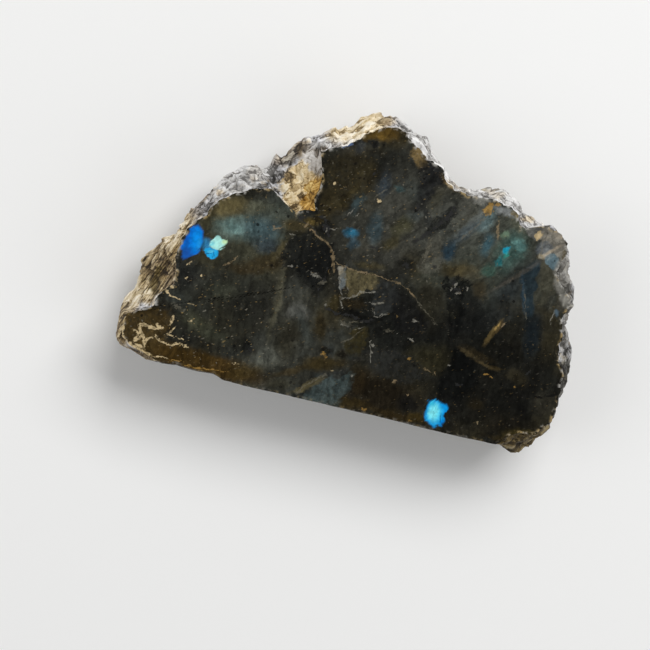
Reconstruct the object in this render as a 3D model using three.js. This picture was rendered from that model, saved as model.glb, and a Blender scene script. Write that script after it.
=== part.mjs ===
// A polished labradorite: one broken slab of dark feldspar with one flat polished face.
// Millimetres, +Z up. The stone lies on its sawn back in the plane z = 0, with the polished face
// on top and the straight sawn edge along X. The origin is on the back, under the middle of the face.
import * as THREE from "three";

// Driving sizes
const thickness = 18;
const facetsRound = 240;
const shoulderRows = 8; // from the polished face out to the widest line
const wallRows = 10; // from the widest line down to the back
const hub = new THREE.Vector2(0, 2); // both outlines can be seen whole from here
const shoulderCurve = 1.35; // above 1 the shoulder starts flat at the face and steepens
const wallCurve = 1.7; // above 1 the wall stays upright at first and turns in near the back
const brokenStep = 0.35; // how far the rough stone drops where the polish ends
const underFace = 0.05; // the rough stone stays at least this far below the polish
const bulk = new THREE.Vector2(46, 30); // half width and half height of the slab, for its outward direction

// The edge of the polished face, anticlockwise from the middle of the sawn edge.
const faceEdge = [
  [0, -23.5], [12, -23.6], [24, -23.9], [37.6, -23.9], [38.6, -22.9], [40, -21.2], [42, -20.4],
  [44, -20.3], [45.3, -19.6], [46.2, -18.4], [47.2, -17.6], [47.5, -15], [47.5, -7.9], [46.9, -5.6],
  [45.6, -4.4], [45.1, -2], [45.2, 0.3], [44.5, 2.4], [44.3, 5], [45, 6.8], [44.7, 8.5],
  [43, 10.3], [41.1, 12.2], [41, 15], [41.7, 16.8], [41.3, 19.2], [39.5, 20.8], [37.2, 21.8],
  [34.5, 21.2], [32.8, 20.4], [31.5, 20.8], [30.3, 22.8], [28.7, 23.8], [26, 24.1], [23.4, 24.6],
  [19.8, 24], [16.4, 24.7], [14.6, 26.1], [13.1, 28.3], [11.4, 28.7], [9.1, 30], [6.3, 31.7],
  [4.9, 32.4], [4.2, 33.7], [2.3, 33.8], [0.4, 33.3], [-1.4, 32.5], [-3.4, 31.1], [-5.1, 29.1],
  [-8, 27.5], [-11.2, 25.9], [-10.5, 23.6], [-9.8, 21.5], [-9.6, 18.4], [-10.4, 16.8],
  [-9.6, 14.2], [-11.7, 13.9], [-13.1, 12.9], [-14.5, 13.6], [-15.9, 14.4], [-18.8, 16.4],
  [-22, 15.7], [-25.8, 14], [-28.3, 12], [-29.8, 10.3], [-30.2, 8.4], [-32.1, 6.7], [-33.5, 4.9],
  [-34.2, 2.2], [-34.6, -1.1], [-33.9, -4], [-33.3, -6.4], [-35.3, -8.2], [-36.3, -10],
  [-36.4, -12], [-41.2, -14.2], [-41.7, -16.4], [-41.3, -19], [-39.8, -20.4], [-37.6, -21],
  [-35.2, -21.8], [-33.6, -22.4], [-31.6, -22.7], [-29.4, -22.2], [-26, -22.5], [-21.9, -22.4],
  [-19.4, -23.3], [-14, -23.5],
];

// The widest line round the stone, in the same order: x, y and its depth under the polished face.
const widestLine = [
  [0, -23.7, 0.9], [12, -23.8, 0.9], [24, -24.1, 0.9], [37.4, -24.2, 1.2], [39.2, -24.6, 3.5],
  [40.9, -25.7, 5], [42.3, -26.2, 5.5], [44, -25.8, 5.5], [45.4, -24.4, 5.5], [45.9, -22.8, 5.5],
  [46.6, -21.6, 5], [47.5, -20.3, 4.5], [48.4, -18.8, 4], [48.6, -16.5, 3], [48.5, -13.1, 3],
  [48.6, -8.2, 3], [48.4, -5.8, 3.5], [48.1, -2.5, 3.5], [47.2, 0.8, 3.5], [46.2, 2.3, 3.5],
  [45.6, 5.3, 3.5], [46.2, 7.8, 3.5], [45.8, 10.2, 3.5], [44.8, 12.7, 3.5], [43.8, 15.6, 3.5],
  [43.1, 17.8, 3.5], [41.8, 19.9, 3.5], [40, 20.9, 3.5], [37.9, 22, 3.5], [35.6, 21.7, 3.5],
  [34.3, 22.1, 3.5], [32.9, 23.1, 4], [31.3, 24.7, 4], [29.3, 25.9, 4], [27, 26.6, 4.5],
  [24.8, 26, 4.5], [21.2, 25.8, 4.5], [17.8, 26.3, 4.5], [15.8, 27.4, 4.5], [13.5, 29.1, 4.5],
  [11.3, 30.1, 4.5], [9.1, 32.1, 4.5], [7.6, 32.9, 4.5], [5.9, 33.8, 4.5], [3.9, 34.6, 5],
  [2.6, 35.7, 6], [0.6, 35.5, 6.5], [-1.3, 34.9, 7], [-3.1, 34.2, 7.5], [-4.6, 33.1, 8],
  [-5.6, 32.3, 8.5], [-8, 31.4, 9], [-10.2, 29.7, 9], [-13.1, 27.4, 9], [-15.3, 25.8, 9],
  [-16.9, 24.4, 9], [-18.6, 22.5, 9], [-19.6, 20.8, 9], [-20.4, 19.2, 9], [-21, 18.6, 9],
  [-22.4, 19.1, 9], [-24.2, 18.7, 9], [-27, 17.4, 9], [-28.5, 16.3, 9], [-29.7, 14.9, 9],
  [-31.2, 13.2, 9], [-31.8, 11, 9], [-33, 8.3, 9], [-34.1, 5.2, 9], [-35.1, 2.5, 9],
  [-37.4, 0.6, 9], [-38.9, -2.1, 9], [-40.4, -4.6, 9], [-41.1, -7.4, 9], [-41.8, -10.8, 9],
  [-42.5, -13.8, 9], [-42.8, -17.4, 8], [-42.9, -19.6, 7], [-41.8, -21.3, 6], [-39.5, -22.5, 5],
  [-37.9, -22.6, 4], [-35.5, -22.9, 3], [-33.9, -23, 2.5], [-31.7, -23.1, 1.5], [-29.4, -22.6, 1],
  [-26, -22.9, 0.9], [-21.9, -22.8, 0.9], [-19.6, -23.5, 0.9], [-14, -23.7, 0.9],
];

// How far the back is set in from the widest line, by the turn in degrees from the sawn edge's middle.
const backInset = [
  [0, 0.5], [54, 0.7], [57, 3.4], [68, 3], [90, 2.6], [112, 3.2], [145, 3.6], [180, 4.2],
  [210, 5.2], [240, 5.6], [270, 5], [288, 3.6], [302, 1.6], [312, 0.6], [360, 0.5],
];

// How rough the wall is, in the same turns: the sawn edge is nearly flat, the broken sides are not.
const roughShare = [
  [0, 0.06], [52, 0.08], [57, 0.8], [70, 1], [285, 1], [300, 0.8], [312, 0.12], [360, 0.06],
];

// The broken surface: lumps, split facets, ledges and pits, each with its size across and its depth.
const lumps = { across: 12, depth: 1.1, seed: 3 };
const facets = { across: 6, depth: 0.9, tilt: 0.3, border: 0.16, seed: 11 };
const ledges = { apart: 4.4, depth: 0.55, rise: 0.7, direction: new THREE.Vector3(0.3, 0.35, 0.89).normalize() };
const pits = { across: 8, radius: 0.3, depth: 1.2, seed: 29 };
const shoulderShare = 0.55; // the shoulder keeps to its lines more closely than the wall
const wallSetBack = 0.5; // how far the middle of the wall's roughness lies behind the plain slab

const stoneLook = new THREE.MeshStandardMaterial({ color: 0x35352c, roughness: 0.35, metalness: 0 });

const mix = (a, b, t) => a + (b - a) * t;
const smooth = (t) => t * t * (3 - 2 * t);
const clamp01 = (t) => Math.min(1, Math.max(0, t));

// A random number from 0 to 1 that is always the same for the same whole-number place.
function chance(x, y, z, seed) {
  const wave = Math.sin(x * 127.1 + y * 311.7 + z * 74.7 + seed * 53.3) * 43758.5453;
  return wave - Math.floor(wave);
}

// Smooth noise from -1 to 1: random values at the corners of a unit lattice, blended between them.
function softNoise(p, seed) {
  const [i, j, k] = [Math.floor(p.x), Math.floor(p.y), Math.floor(p.z)];
  const [u, v, w] = [smooth(p.x - i), smooth(p.y - j), smooth(p.z - k)];
  const row = (dy, dz) => mix(chance(i, j + dy, k + dz, seed), chance(i + 1, j + dy, k + dz, seed), u);
  return 2 * mix(mix(row(0, 0), row(1, 0), v), mix(row(0, 1), row(1, 1), v), w) - 1;
}

// The two nearest of the scattered points of a unit lattice: their cells, and the way from each to p.
function nearestGrains(p, seed) {
  const home = new THREE.Vector3(Math.floor(p.x), Math.floor(p.y), Math.floor(p.z));
  const grains = [];
  for (let n = 0; n < 27; n++) {
    const cell = new THREE.Vector3((n % 3) - 1, (Math.floor(n / 3) % 3) - 1, Math.floor(n / 9) - 1).add(home);
    const grain = new THREE.Vector3(
      cell.x + chance(cell.x, cell.y, cell.z, seed),
      cell.y + chance(cell.x, cell.y, cell.z, seed + 1),
      cell.z + chance(cell.x, cell.y, cell.z, seed + 2),
    );
    const away = p.clone().sub(grain);
    grains.push({ distance: away.length(), cell, away });
  }
  return grains.sort((a, b) => a.distance - b.distance).slice(0, 2);
}

// Split facets: each grain is one tilted flat at its own height, joined to the next by a short slope.
function facetHeight(p, { across, depth, tilt, border, seed }) {
  const height = ({ cell, away }) => {
    const random = (n) => 2 * chance(cell.x, cell.y, cell.z, seed + n) - 1;
    return depth * random(3) + tilt * across * (random(4) * away.x + random(5) * away.y + random(6) * away.z);
  };
  const [first, second] = nearestGrains(p.clone().divideScalar(across), seed);
  const apart = clamp01((second.distance - first.distance) / border);
  return mix(height(second), height(first), 0.5 + 0.5 * apart);
}

// Ledges: a long rise and a short fall along one direction, so that the wall climbs in steps.
function ledgeHeight(p, { apart, depth, rise, direction }) {
  const along = p.dot(direction) / apart + 0.5 * softNoise(p.clone().divideScalar(9), 41);
  const part = along - Math.floor(along);
  return depth * (2 * (part < rise ? part / rise : (1 - part) / (1 - rise)) - 1);
}

// Pits: a round hollow at each of the scattered points.
function pitDepth(p, { across, radius, depth, seed }) {
  const [{ distance }] = nearestGrains(p.clone().divideScalar(across), seed);
  return depth * smooth(clamp01(1 - distance / radius));
}

// How far the broken surface stands in front of, or behind, the plain slab at p.
function brokenHeight(p) {
  const lump = lumps.depth * softNoise(p.clone().divideScalar(lumps.across), lumps.seed);
  return lump + facetHeight(p, facets) + ledgeHeight(p, ledges) - pitDepth(p, pits);
}

// The turn of a point round the hub, in degrees from the middle of the sawn edge.
function turnOf([x, y]) {
  const degrees = THREE.MathUtils.radToDeg(Math.atan2(y - hub.y, x - hub.x));
  return (degrees + 90 + 360) % 360;
}

// The row of a list at a turn, worked out between the two rows that hold it.
function rowAt(rows, turns, turn) {
  let n = turns.findIndex((t) => t > turn) - 1;
  if (n < 0) n = rows.length - 1;
  const next = (n + 1) % rows.length;
  const span = (turns[next] || 360) - turns[n];
  return rows[n].map((value, i) => mix(value, rows[next][i], (turn - turns[n]) / span));
}

const faceTurns = faceEdge.map(turnOf);
const widestTurns = widestLine.map(turnOf);
const valueAt = (table, turn) => rowAt(table, table.map((row) => row[0]), turn)[1];

// Turns that part the widest line into stretches of equal length.
function evenTurns(count) {
  const fine = Array.from({ length: 3600 }, (_, i) => i / 10);
  const points = fine.map((turn) => rowAt(widestLine, widestTurns, turn));
  const lengths = [0];
  points.forEach(([x, y], i) => {
    const [nextX, nextY] = points[(i + 1) % points.length];
    lengths.push(lengths[i] + Math.hypot(nextX - x, nextY - y));
  });
  const total = lengths[fine.length];
  return Array.from({ length: count }, (_, k) => fine[lengths.findIndex((l) => l > (total * k) / count) - 1]);
}

// One point of the slab's side. level runs from 0 at the face's edge to 1 at the widest line and 2 at the back.
function sidePoint(turn, level) {
  const face = rowAt(faceEdge, faceTurns, turn);
  const widest = rowAt(widestLine, widestTurns, turn);
  const outward = new THREE.Vector3(widest[0] / bulk.x ** 2, widest[1] / bulk.y ** 2, 0).normalize();
  const p = new THREE.Vector3();
  let share;
  if (level <= 1) {
    const step = brokenStep * Math.min(1, 4 * level) * (1 - level);
    p.set(mix(face[0], widest[0], level), mix(face[1], widest[1], level), 0);
    p.z = thickness - widest[2] * level ** shoulderCurve - step;
    share = shoulderShare * smooth(clamp01(level / 0.3));
    outward.z = 1.2 * (1 - level);
  } else {
    const down = level - 1;
    const inset = valueAt(backInset, turn) * down ** wallCurve;
    p.set(widest[0], widest[1], (thickness - widest[2]) * (1 - down));
    p.addScaledVector(outward, -inset);
    share = mix(shoulderShare, 1, smooth(clamp01(down / 0.25))) * smooth(clamp01((1 - down) / 0.12));
  }
  const height = brokenHeight(p) - wallSetBack * clamp01(level - 0.5);
  p.addScaledVector(outward.normalize(), height * share * valueAt(roughShare, turn));
  p.z = Math.min(p.z, thickness - underFace * clamp01(level * shoulderRows));
  return p;
}

// The whole stone: the two flats, and the side between them in rings of points.
function stoneGeometry() {
  const turns = evenTurns(facetsRound);
  const levels = [
    ...Array.from({ length: shoulderRows }, (_, i) => i / shoulderRows),
    ...Array.from({ length: wallRows + 1 }, (_, i) => 1 + i / wallRows),
  ];
  const rings = levels.map((level) => turns.map((turn) => sidePoint(turn, level)));
  const count = facetsRound;
  const index = [];
  for (let row = 0; row + 1 < rings.length; row++) {
    for (let i = 0; i < count; i++) {
      const [a, b] = [row * count + i, row * count + ((i + 1) % count)];
      index.push(a, a + count, b + count, a, b + count, b);
    }
  }
  const flat = (ring) => THREE.ShapeUtils.triangulateShape(ring.map((p) => new THREE.Vector2(p.x, p.y)), []);
  const last = (rings.length - 1) * count;
  flat(rings[0]).forEach(([a, b, c]) => index.push(a, b, c));
  flat(rings[rings.length - 1]).forEach(([a, b, c]) => index.push(last + a, last + c, last + b));
  const geometry = new THREE.BufferGeometry().setFromPoints(rings.flat());
  geometry.setIndex(index);
  geometry.computeVertexNormals();
  return geometry;
}

const stone = new THREE.Mesh(stoneGeometry(), stoneLook);
stone.name = "labradorite";

const group = new THREE.Group();
group.add(stone);

export default group;
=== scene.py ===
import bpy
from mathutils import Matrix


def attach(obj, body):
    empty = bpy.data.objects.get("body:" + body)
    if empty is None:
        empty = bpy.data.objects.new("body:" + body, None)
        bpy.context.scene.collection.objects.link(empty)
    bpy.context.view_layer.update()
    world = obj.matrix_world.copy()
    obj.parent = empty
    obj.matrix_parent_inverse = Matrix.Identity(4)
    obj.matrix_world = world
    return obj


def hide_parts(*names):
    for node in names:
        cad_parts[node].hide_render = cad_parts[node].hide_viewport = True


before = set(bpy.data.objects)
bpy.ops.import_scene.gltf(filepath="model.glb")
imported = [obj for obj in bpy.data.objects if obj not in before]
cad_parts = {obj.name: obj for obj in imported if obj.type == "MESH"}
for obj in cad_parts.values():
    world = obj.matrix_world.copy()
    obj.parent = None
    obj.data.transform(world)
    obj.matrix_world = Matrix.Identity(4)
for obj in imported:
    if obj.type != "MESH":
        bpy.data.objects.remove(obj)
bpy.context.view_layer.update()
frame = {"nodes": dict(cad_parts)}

from math import cos, pi, radians, sin

import bpy
import numpy as np
from mathutils import Matrix, Vector

print("frame loaded:", ", ".join(frame["nodes"]))

millimetre = 0.001
view = bpy.context.scene.view_settings
view.view_transform = "Standard"

# The camera stands where the photograph was taken from: nearly square to the polish, a little to the
# peak's side.
camera = {
    "frameSide": 650,            # pixels of the picture
    "pixelsPerMm": 5.0,          # on the polished face
    "originPixel": (345, 290),   # where the origin shows
    "turn": 13,                  # degrees that the sawn edge runs down to the right
    "lean": 10,                  # degrees off square
    "leanTowards": (-0.35, 0.94),  # in the picture, right and up
    "distance": 420.0,           # mm
    "sensor": 36.0,
}


def placeCamera(c, faceLevel):
    right = Vector((cos(radians(c["turn"])), sin(radians(c["turn"])), 0))
    up = Vector((-right.y, right.x, 0))
    lean = (right * c["leanTowards"][0] + up * c["leanTowards"][1]).normalized()
    toCamera = lean * sin(radians(c["lean"])) + Vector((0, 0, cos(radians(c["lean"]))))
    camRight = (right - toCamera * right.dot(toCamera)).normalized()
    camUp = toCamera.cross(camRight)
    middle = c["frameSide"] / 2
    offX = (middle - c["originPixel"][0]) / c["pixelsPerMm"]
    offY = (c["originPixel"][1] - middle) / c["pixelsPerMm"]
    place = Vector((0, 0, faceLevel)) + camRight * offX + camUp * offY + toCamera * c["distance"]
    data = bpy.data.cameras.new("photoCamera")
    data.sensor_width = c["sensor"]
    data.lens = c["sensor"] * c["pixelsPerMm"] * c["distance"] / c["frameSide"]
    data.clip_start, data.clip_end = 0.01, 20
    made = bpy.data.objects.new("photoCamera", data)
    bpy.context.scene.collection.objects.link(made)
    turn = Matrix((camRight, camUp, toCamera)).transposed().to_4x4()
    made.matrix_world = Matrix.Translation(place * millimetre) @ turn
    bpy.context.scene.camera = made


# The stone. Lengths are in millimetres, as in the solid that this piece stands for.
slab = {
    "thickness": 18.0,
    "hub": (0.0, 2.0),           # both outlines can be seen whole from here
    "bulk": (46.0, 30.0),        # half width and half height, for the outward direction
    "columns": 800,              # points round the stone, four times a whole number
    "shoulderRows": 24,
    "wallRows": 42,
    "backRows": 4,
    "shoulderCurve": 1.35,
    "wallCurve": 1.7,
    "brokenStep": 0.35,          # drop of the rough stone where the polish ends
    "underFace": 0.05,
    "shoulderShare": 0.55,
    "wallSetBack": 0.5,
}

# The edge of the polish, anticlockwise from the middle of the sawn edge.
faceEdge = [
    (0, -23.5), (12, -23.6), (24, -23.9), (37.6, -23.9), (38.6, -22.9), (40, -21.2), (42, -20.4),
    (44, -20.3), (45.3, -19.6), (46.2, -18.4), (47.2, -17.6), (47.5, -15), (47.5, -7.9), (46.9, -5.6),
    (45.6, -4.4), (45.1, -2), (45.2, 0.3), (44.5, 2.4), (44.3, 5), (45, 6.8), (44.7, 8.5),
    (43, 10.3), (41.1, 12.2), (41, 15), (41.7, 16.8), (41.3, 19.2), (39.5, 20.8), (37.2, 21.8),
    (34.5, 21.2), (32.8, 20.4), (31.5, 20.8), (30.3, 22.8), (28.7, 23.8), (26, 24.1), (23.4, 24.6),
    (19.8, 24), (16.4, 24.7), (14.6, 26.1), (13.1, 28.3), (11.4, 28.7), (9.1, 30), (6.3, 31.7),
    (4.9, 32.4), (4.2, 33.7), (2.3, 33.8), (0.4, 33.3), (-1.4, 32.5), (-3.4, 31.1), (-5.1, 29.1),
    (-8, 27.5), (-11.2, 25.9), (-10.5, 23.6), (-9.8, 21.5), (-9.6, 18.4), (-10.4, 16.8),
    (-9.6, 14.2), (-11.7, 13.9), (-13.1, 12.9), (-14.5, 13.6), (-15.9, 14.4), (-18.8, 16.4),
    (-22, 15.7), (-25.8, 14), (-28.3, 12), (-29.8, 10.3), (-30.2, 8.4), (-32.1, 6.7), (-33.5, 4.9),
    (-34.2, 2.2), (-34.6, -1.1), (-33.9, -4), (-33.3, -6.4), (-35.3, -8.2), (-36.3, -10),
    (-36.4, -12), (-41.2, -14.2), (-41.7, -16.4), (-41.3, -19), (-39.8, -20.4), (-37.6, -21),
    (-35.2, -21.8), (-33.6, -22.4), (-31.6, -22.7), (-29.4, -22.2), (-26, -22.5), (-21.9, -22.4),
    (-19.4, -23.3), (-14, -23.5),
]

# The widest line round the stone: x, y and its depth under the polish.
widestLine = [
    (0, -23.7, 0.9), (12, -23.8, 0.9), (24, -24.1, 0.9), (37.4, -24.2, 1.2), (39.2, -24.6, 3.5),
    (40.9, -25.7, 5), (42.3, -26.2, 5.5), (44, -25.8, 5.5), (45.4, -24.4, 5.5), (45.9, -22.8, 5.5),
    (46.6, -21.6, 5), (47.5, -20.3, 4.5), (48.4, -18.8, 4), (48.6, -16.5, 3), (48.5, -13.1, 3),
    (48.6, -8.2, 3), (48.4, -5.8, 3.5), (48.1, -2.5, 3.5), (47.2, 0.8, 3.5), (46.2, 2.3, 3.5),
    (45.6, 5.3, 3.5), (46.2, 7.8, 3.5), (45.8, 10.2, 3.5), (44.8, 12.7, 3.5), (43.8, 15.6, 3.5),
    (43.1, 17.8, 3.5), (41.8, 19.9, 3.5), (40, 20.9, 3.5), (37.9, 22, 3.5), (35.6, 21.7, 3.5),
    (34.3, 22.1, 3.5), (32.9, 23.1, 4), (31.3, 24.7, 4), (29.3, 25.9, 4), (27, 26.6, 4.5),
    (24.8, 26, 4.5), (21.2, 25.8, 4.5), (17.8, 26.3, 4.5), (15.8, 27.4, 4.5), (13.5, 29.1, 4.5),
    (11.3, 30.1, 4.5), (9.1, 32.1, 4.5), (7.6, 32.9, 4.5), (5.9, 33.8, 4.5), (3.9, 34.6, 5),
    (2.6, 35.7, 6), (0.6, 35.5, 6.5), (-1.3, 34.9, 7), (-3.1, 34.2, 7.5), (-4.6, 33.1, 8),
    (-5.6, 32.3, 8.5), (-8, 31.4, 9), (-10.2, 29.7, 9), (-13.1, 27.4, 9), (-15.3, 25.8, 9),
    (-16.9, 24.4, 9), (-18.6, 22.5, 9), (-19.6, 20.8, 9), (-20.4, 19.2, 9), (-21, 18.6, 9),
    (-22.4, 19.1, 9), (-24.2, 18.7, 9), (-27, 17.4, 9), (-28.5, 16.3, 9), (-29.7, 14.9, 9),
    (-31.2, 13.2, 9), (-31.8, 11, 9), (-33, 8.3, 9), (-34.1, 5.2, 9), (-35.1, 2.5, 9),
    (-37.4, 0.6, 9), (-38.9, -2.1, 9), (-40.4, -4.6, 9), (-41.1, -7.4, 9), (-41.8, -10.8, 9),
    (-42.5, -13.8, 9), (-42.8, -17.4, 8), (-42.9, -19.6, 7), (-41.8, -21.3, 6), (-39.5, -22.5, 5),
    (-37.9, -22.6, 4), (-35.5, -22.9, 3), (-33.9, -23, 2.5), (-31.7, -23.1, 1.5), (-29.4, -22.6, 1),
    (-26, -22.9, 0.9), (-21.9, -22.8, 0.9), (-19.6, -23.5, 0.9), (-14, -23.7, 0.9),
]

# By the turn in degrees from the middle of the sawn edge: the back's inset, and how rough the wall is.
backInset = [
    (0, 0.5), (54, 0.7), (57, 3.4), (68, 3), (90, 2.6), (112, 3.2), (145, 3.6), (180, 4.2),
    (210, 5.2), (240, 5.6), (270, 5), (288, 3.6), (302, 1.6), (312, 0.6), (360, 0.5),
]
roughShare = [
    (0, 0.06), (52, 0.08), (57, 0.8), (70, 1), (285, 1), (300, 0.8), (312, 0.12), (360, 0.06),
]

# The broken surface. The first three shape the solid too, the others are the fine breaks on it.
relief = {
    "lumps": {"across": 12, "depth": 1.1, "seed": 3},
    "facets": {"across": 6, "depth": 0.9, "tilt": 0.3, "border": 0.16, "seed": 11},
    "ledges": {"apart": 4.4, "depth": 0.55, "rise": 0.7, "direction": (0.3, 0.35, 0.89)},
    "pits": {"across": 8, "radius": 0.3, "depth": 1.2, "seed": 29},
    "flakes": {"across": 1.9, "depth": 0.24, "tilt": 0.34, "border": 0.1, "seed": 51},
    "crumbs": {"across": 0.8, "depth": 0.1, "tilt": 0.3, "border": 0.15, "seed": 67},
    "treads": {"apart": 0.95, "depth": 0.13, "rise": 0.75, "direction": (0.55, 0.6, 0.58)},
    "nicks": [(0.45, 1.3, 97), (0.25, 0.55, 98)],   # how deep, how far across and seed
    "proud": 0.12,               # how far the fine breaks stand out at most, the rest goes in
}


def smooth(t):
    t = np.clip(t, 0, 1)
    return t * t * (3 - 2 * t)


def mix(a, b, t):
    return a + (b - a) * t


# A random number from 0 to 1 for each whole-number place, the same as the solid's.
def chance(cell, seed):
    wave = np.sin(cell @ np.array([127.1, 311.7, 74.7]) + seed * 53.3) * 43758.5453
    return wave - np.floor(wave)


# Smooth noise from -1 to 1: random values at the corners of a unit lattice, blended between them.
def softNoise(p, seed):
    cell = np.floor(p)
    u, v, w = smooth(p - cell).T
    corner = [chance(cell + (i, j, k), seed) for k in (0, 1) for j in (0, 1) for i in (0, 1)]
    rows = [mix(corner[n], corner[n + 1], u) for n in (0, 2, 4, 6)]
    return 2 * mix(mix(rows[0], rows[1], v), mix(rows[2], rows[3], v), w) - 1


# The two nearest of the scattered points of a unit lattice: distance, cell and way to p for each.
def nearestGrains(p, seed):
    home = np.floor(p)
    first = [np.full(len(p), 9.0), home.copy(), np.zeros_like(p)]
    second = [np.full(len(p), 9.0), home.copy(), np.zeros_like(p)]
    for n in range(27):
        cell = home + (n % 3 - 1, n // 3 % 3 - 1, n // 9 - 1)
        away = p - cell - np.stack([chance(cell, seed + i) for i in range(3)], -1)
        distance = np.linalg.norm(away, axis=1)
        nearer = distance < first[0]
        next = ~nearer & (distance < second[0])
        for best, other, new in zip(first, second, (distance, cell, away)):
            other[nearer] = best[nearer]
            other[next] = new[next]
            best[nearer] = new[nearer]
    return first, second


# Split facets: each grain is one tilted flat at its own height, joined to the next by a short slope.
def facetHeight(p, k):
    def height(grain):
        random = [2 * chance(grain[1], k["seed"] + n) - 1 for n in (3, 4, 5, 6)]
        slope = sum(r * away for r, away in zip(random[1:], grain[2].T))
        return k["depth"] * random[0] + k["tilt"] * k["across"] * slope
    first, second = nearestGrains(p / k["across"], k["seed"])
    apart = np.clip((second[0] - first[0]) / k["border"], 0, 1)
    return mix(height(second), height(first), 0.5 + 0.5 * apart)


# Ledges: a long rise and a short fall along one direction, so that the wall climbs in steps.
def ledgeHeight(p, k):
    direction = np.array(k["direction"]) / np.linalg.norm(k["direction"])
    along = p @ direction / k["apart"] + 0.5 * softNoise(p / 9, 41)
    part = along - np.floor(along)
    return k["depth"] * (2 * np.where(part < k["rise"], part / k["rise"], (1 - part) / (1 - k["rise"])) - 1)


# Pits: a round hollow at each of the scattered points.
def pitDepth(p, k):
    distance = nearestGrains(p / k["across"], k["seed"])[0][0]
    return k["depth"] * smooth(1 - distance / k["radius"])


def brokenHeight(p):
    lump = relief["lumps"]["depth"] * softNoise(p / relief["lumps"]["across"], relief["lumps"]["seed"])
    height = lump + facetHeight(p, relief["facets"])
    return height + ledgeHeight(p, relief["ledges"]) - pitDepth(p, relief["pits"])


# Fine breaks that are too small for the solid: flakes everywhere, crumbs on them, and treads in patches.
def fineHeight(p):
    treadPatches = smooth(softNoise(p / 7, 83) * 2 + 0.5)
    flakes = facetHeight(p, relief["flakes"])
    return flakes + facetHeight(p, relief["crumbs"]) + treadPatches * ledgeHeight(p, relief["treads"])


def turnOf(x, y):
    return (np.degrees(np.arctan2(y - slab["hub"][1], x - slab["hub"][0])) + 450) % 360


# An outline's columns at each turn, straight between its points.
def alongOutline(rows, turn):
    columns = np.array(rows, float).T
    return [np.interp(turn, turnOf(columns[0], columns[1]), column, period=360) for column in columns]


def alongTable(rows, turn):
    turns, values = np.array(rows, float).T
    return np.interp(turn, turns, values)


# Turns that part the widest line into stretches of equal length.
def evenTurns(count):
    fine = np.linspace(0, 360, 7201)
    x, y, _ = alongOutline(widestLine, fine)
    length = np.concatenate([[0], np.cumsum(np.hypot(np.diff(x), np.diff(y)))])
    return np.interp(np.arange(count) / count * length[-1], length, fine)


# The edge of the polish is nicked: its points draw in towards the hub by two sizes of noise.
def nickedEdge(turn):
    x, y = alongOutline(faceEdge, turn)
    p = np.stack([x, y, 0 * x], -1)
    nicks = relief["nicks"]
    depth = sum(size * np.maximum(softNoise(p / across, seed), -0.2) for size, across, seed in nicks)
    inward = depth * alongTable(roughShare, turn) / np.hypot(x - slab["hub"][0], y - slab["hub"][1])
    return mix(x, slab["hub"][0], inward), mix(y, slab["hub"][1], inward)


# The side as a function of the turn and of a level: 0 at the polish, 1 at the widest line, 2 at the back.
def sideSurface(turn, level):
    turn, level = (a.ravel() for a in np.meshgrid(turn, level))
    faceX, faceY = nickedEdge(turn)
    wideX, wideY, depth = alongOutline(widestLine, turn)
    up, down = np.clip(level, 0, 1), np.clip(level - 1, 0, 1)
    upper = level <= 1
    outward = np.stack([wideX / slab["bulk"][0] ** 2, wideY / slab["bulk"][1] ** 2, 0 * turn], -1)
    outward /= np.linalg.norm(outward, axis=1)[:, None]
    inset = alongTable(backInset, turn) * down ** slab["wallCurve"]
    step = slab["brokenStep"] * np.minimum(1, 4 * up) * (1 - up)
    z = np.where(upper, slab["thickness"] - depth * up ** slab["shoulderCurve"] - step,
                 (slab["thickness"] - depth) * (1 - down))
    p = np.stack([mix(faceX, wideX, up), mix(faceY, wideY, up), z], -1) - outward * inset[:, None]
    outward[:, 2] = np.where(upper, 1.2 * (1 - up), 0)
    outward /= np.linalg.norm(outward, axis=1)[:, None]
    ends = smooth((1 - down) / 0.12)
    share = np.where(upper, slab["shoulderShare"] * smooth(up / 0.3),
                     mix(slab["shoulderShare"], 1, smooth(down / 0.25)) * ends)
    rough = alongTable(roughShare, turn)
    fine = fineHeight(p)
    fineShare = smooth(up / 0.06) * ends * mix(0.1, 1, rough)
    height = (brokenHeight(p) - slab["wallSetBack"] * np.clip(level - 0.5, 0, 1)) * share * rough
    p += outward * (height + (np.minimum(fine, relief["proud"]) - relief["proud"]) * fineShare)[:, None]
    p[:, 2] = np.minimum(p[:, 2], slab["thickness"] - slab["underFace"] * np.clip(level * 8, 0, 1))
    return p, fine, 1 - smooth((rough - 0.1) / 0.6), down


# The polish as a square grid drawn out to the edge: a point keeps its share of the way from the hub
# to the edge.
def faceSurface(edge, cells):
    a, b = np.meshgrid(np.linspace(-1, 1, cells + 1), np.linspace(-1, 1, cells + 1))
    share = np.maximum(np.abs(a), np.abs(b))
    safe = np.where(share > 0, share, 1)
    u, v = a / safe, b / safe
    side = np.select([v <= -0.999999, u >= 0.999999, v >= 0.999999], [0, 1, 2], 3)
    sides = [side == 0, side == 1, side == 2]
    along = np.select(sides, [(u + 1) / 2, (v + 1) / 2, (1 - u) / 2], (1 - v) / 2)
    column = (side + along) * cells
    columns = np.arange(len(edge) + 1)
    closed = np.concatenate([edge, edge[:1]])
    hub = np.array([*slab["hub"], slab["thickness"]])
    rim = np.stack([np.interp(column, columns, closed[:, i]) for i in range(3)], -1)
    # a point's distance from the edge: the rest of its way out, less where the edge runs aslant
    way, run = edge[:, :2] - hub[:2], np.roll(edge, -2, axis=0)[:, :2] - np.roll(edge, 2, axis=0)[:, :2]
    nearest = np.abs(way[:, 0] * run[:, 1] - way[:, 1] * run[:, 0]) / np.linalg.norm(run, axis=1)
    toEdge = (1 - share) * np.interp(column, columns, np.append(nearest, nearest[0]))
    return hub + (rim - hub) * share[..., None], column, share, toEdge


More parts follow.
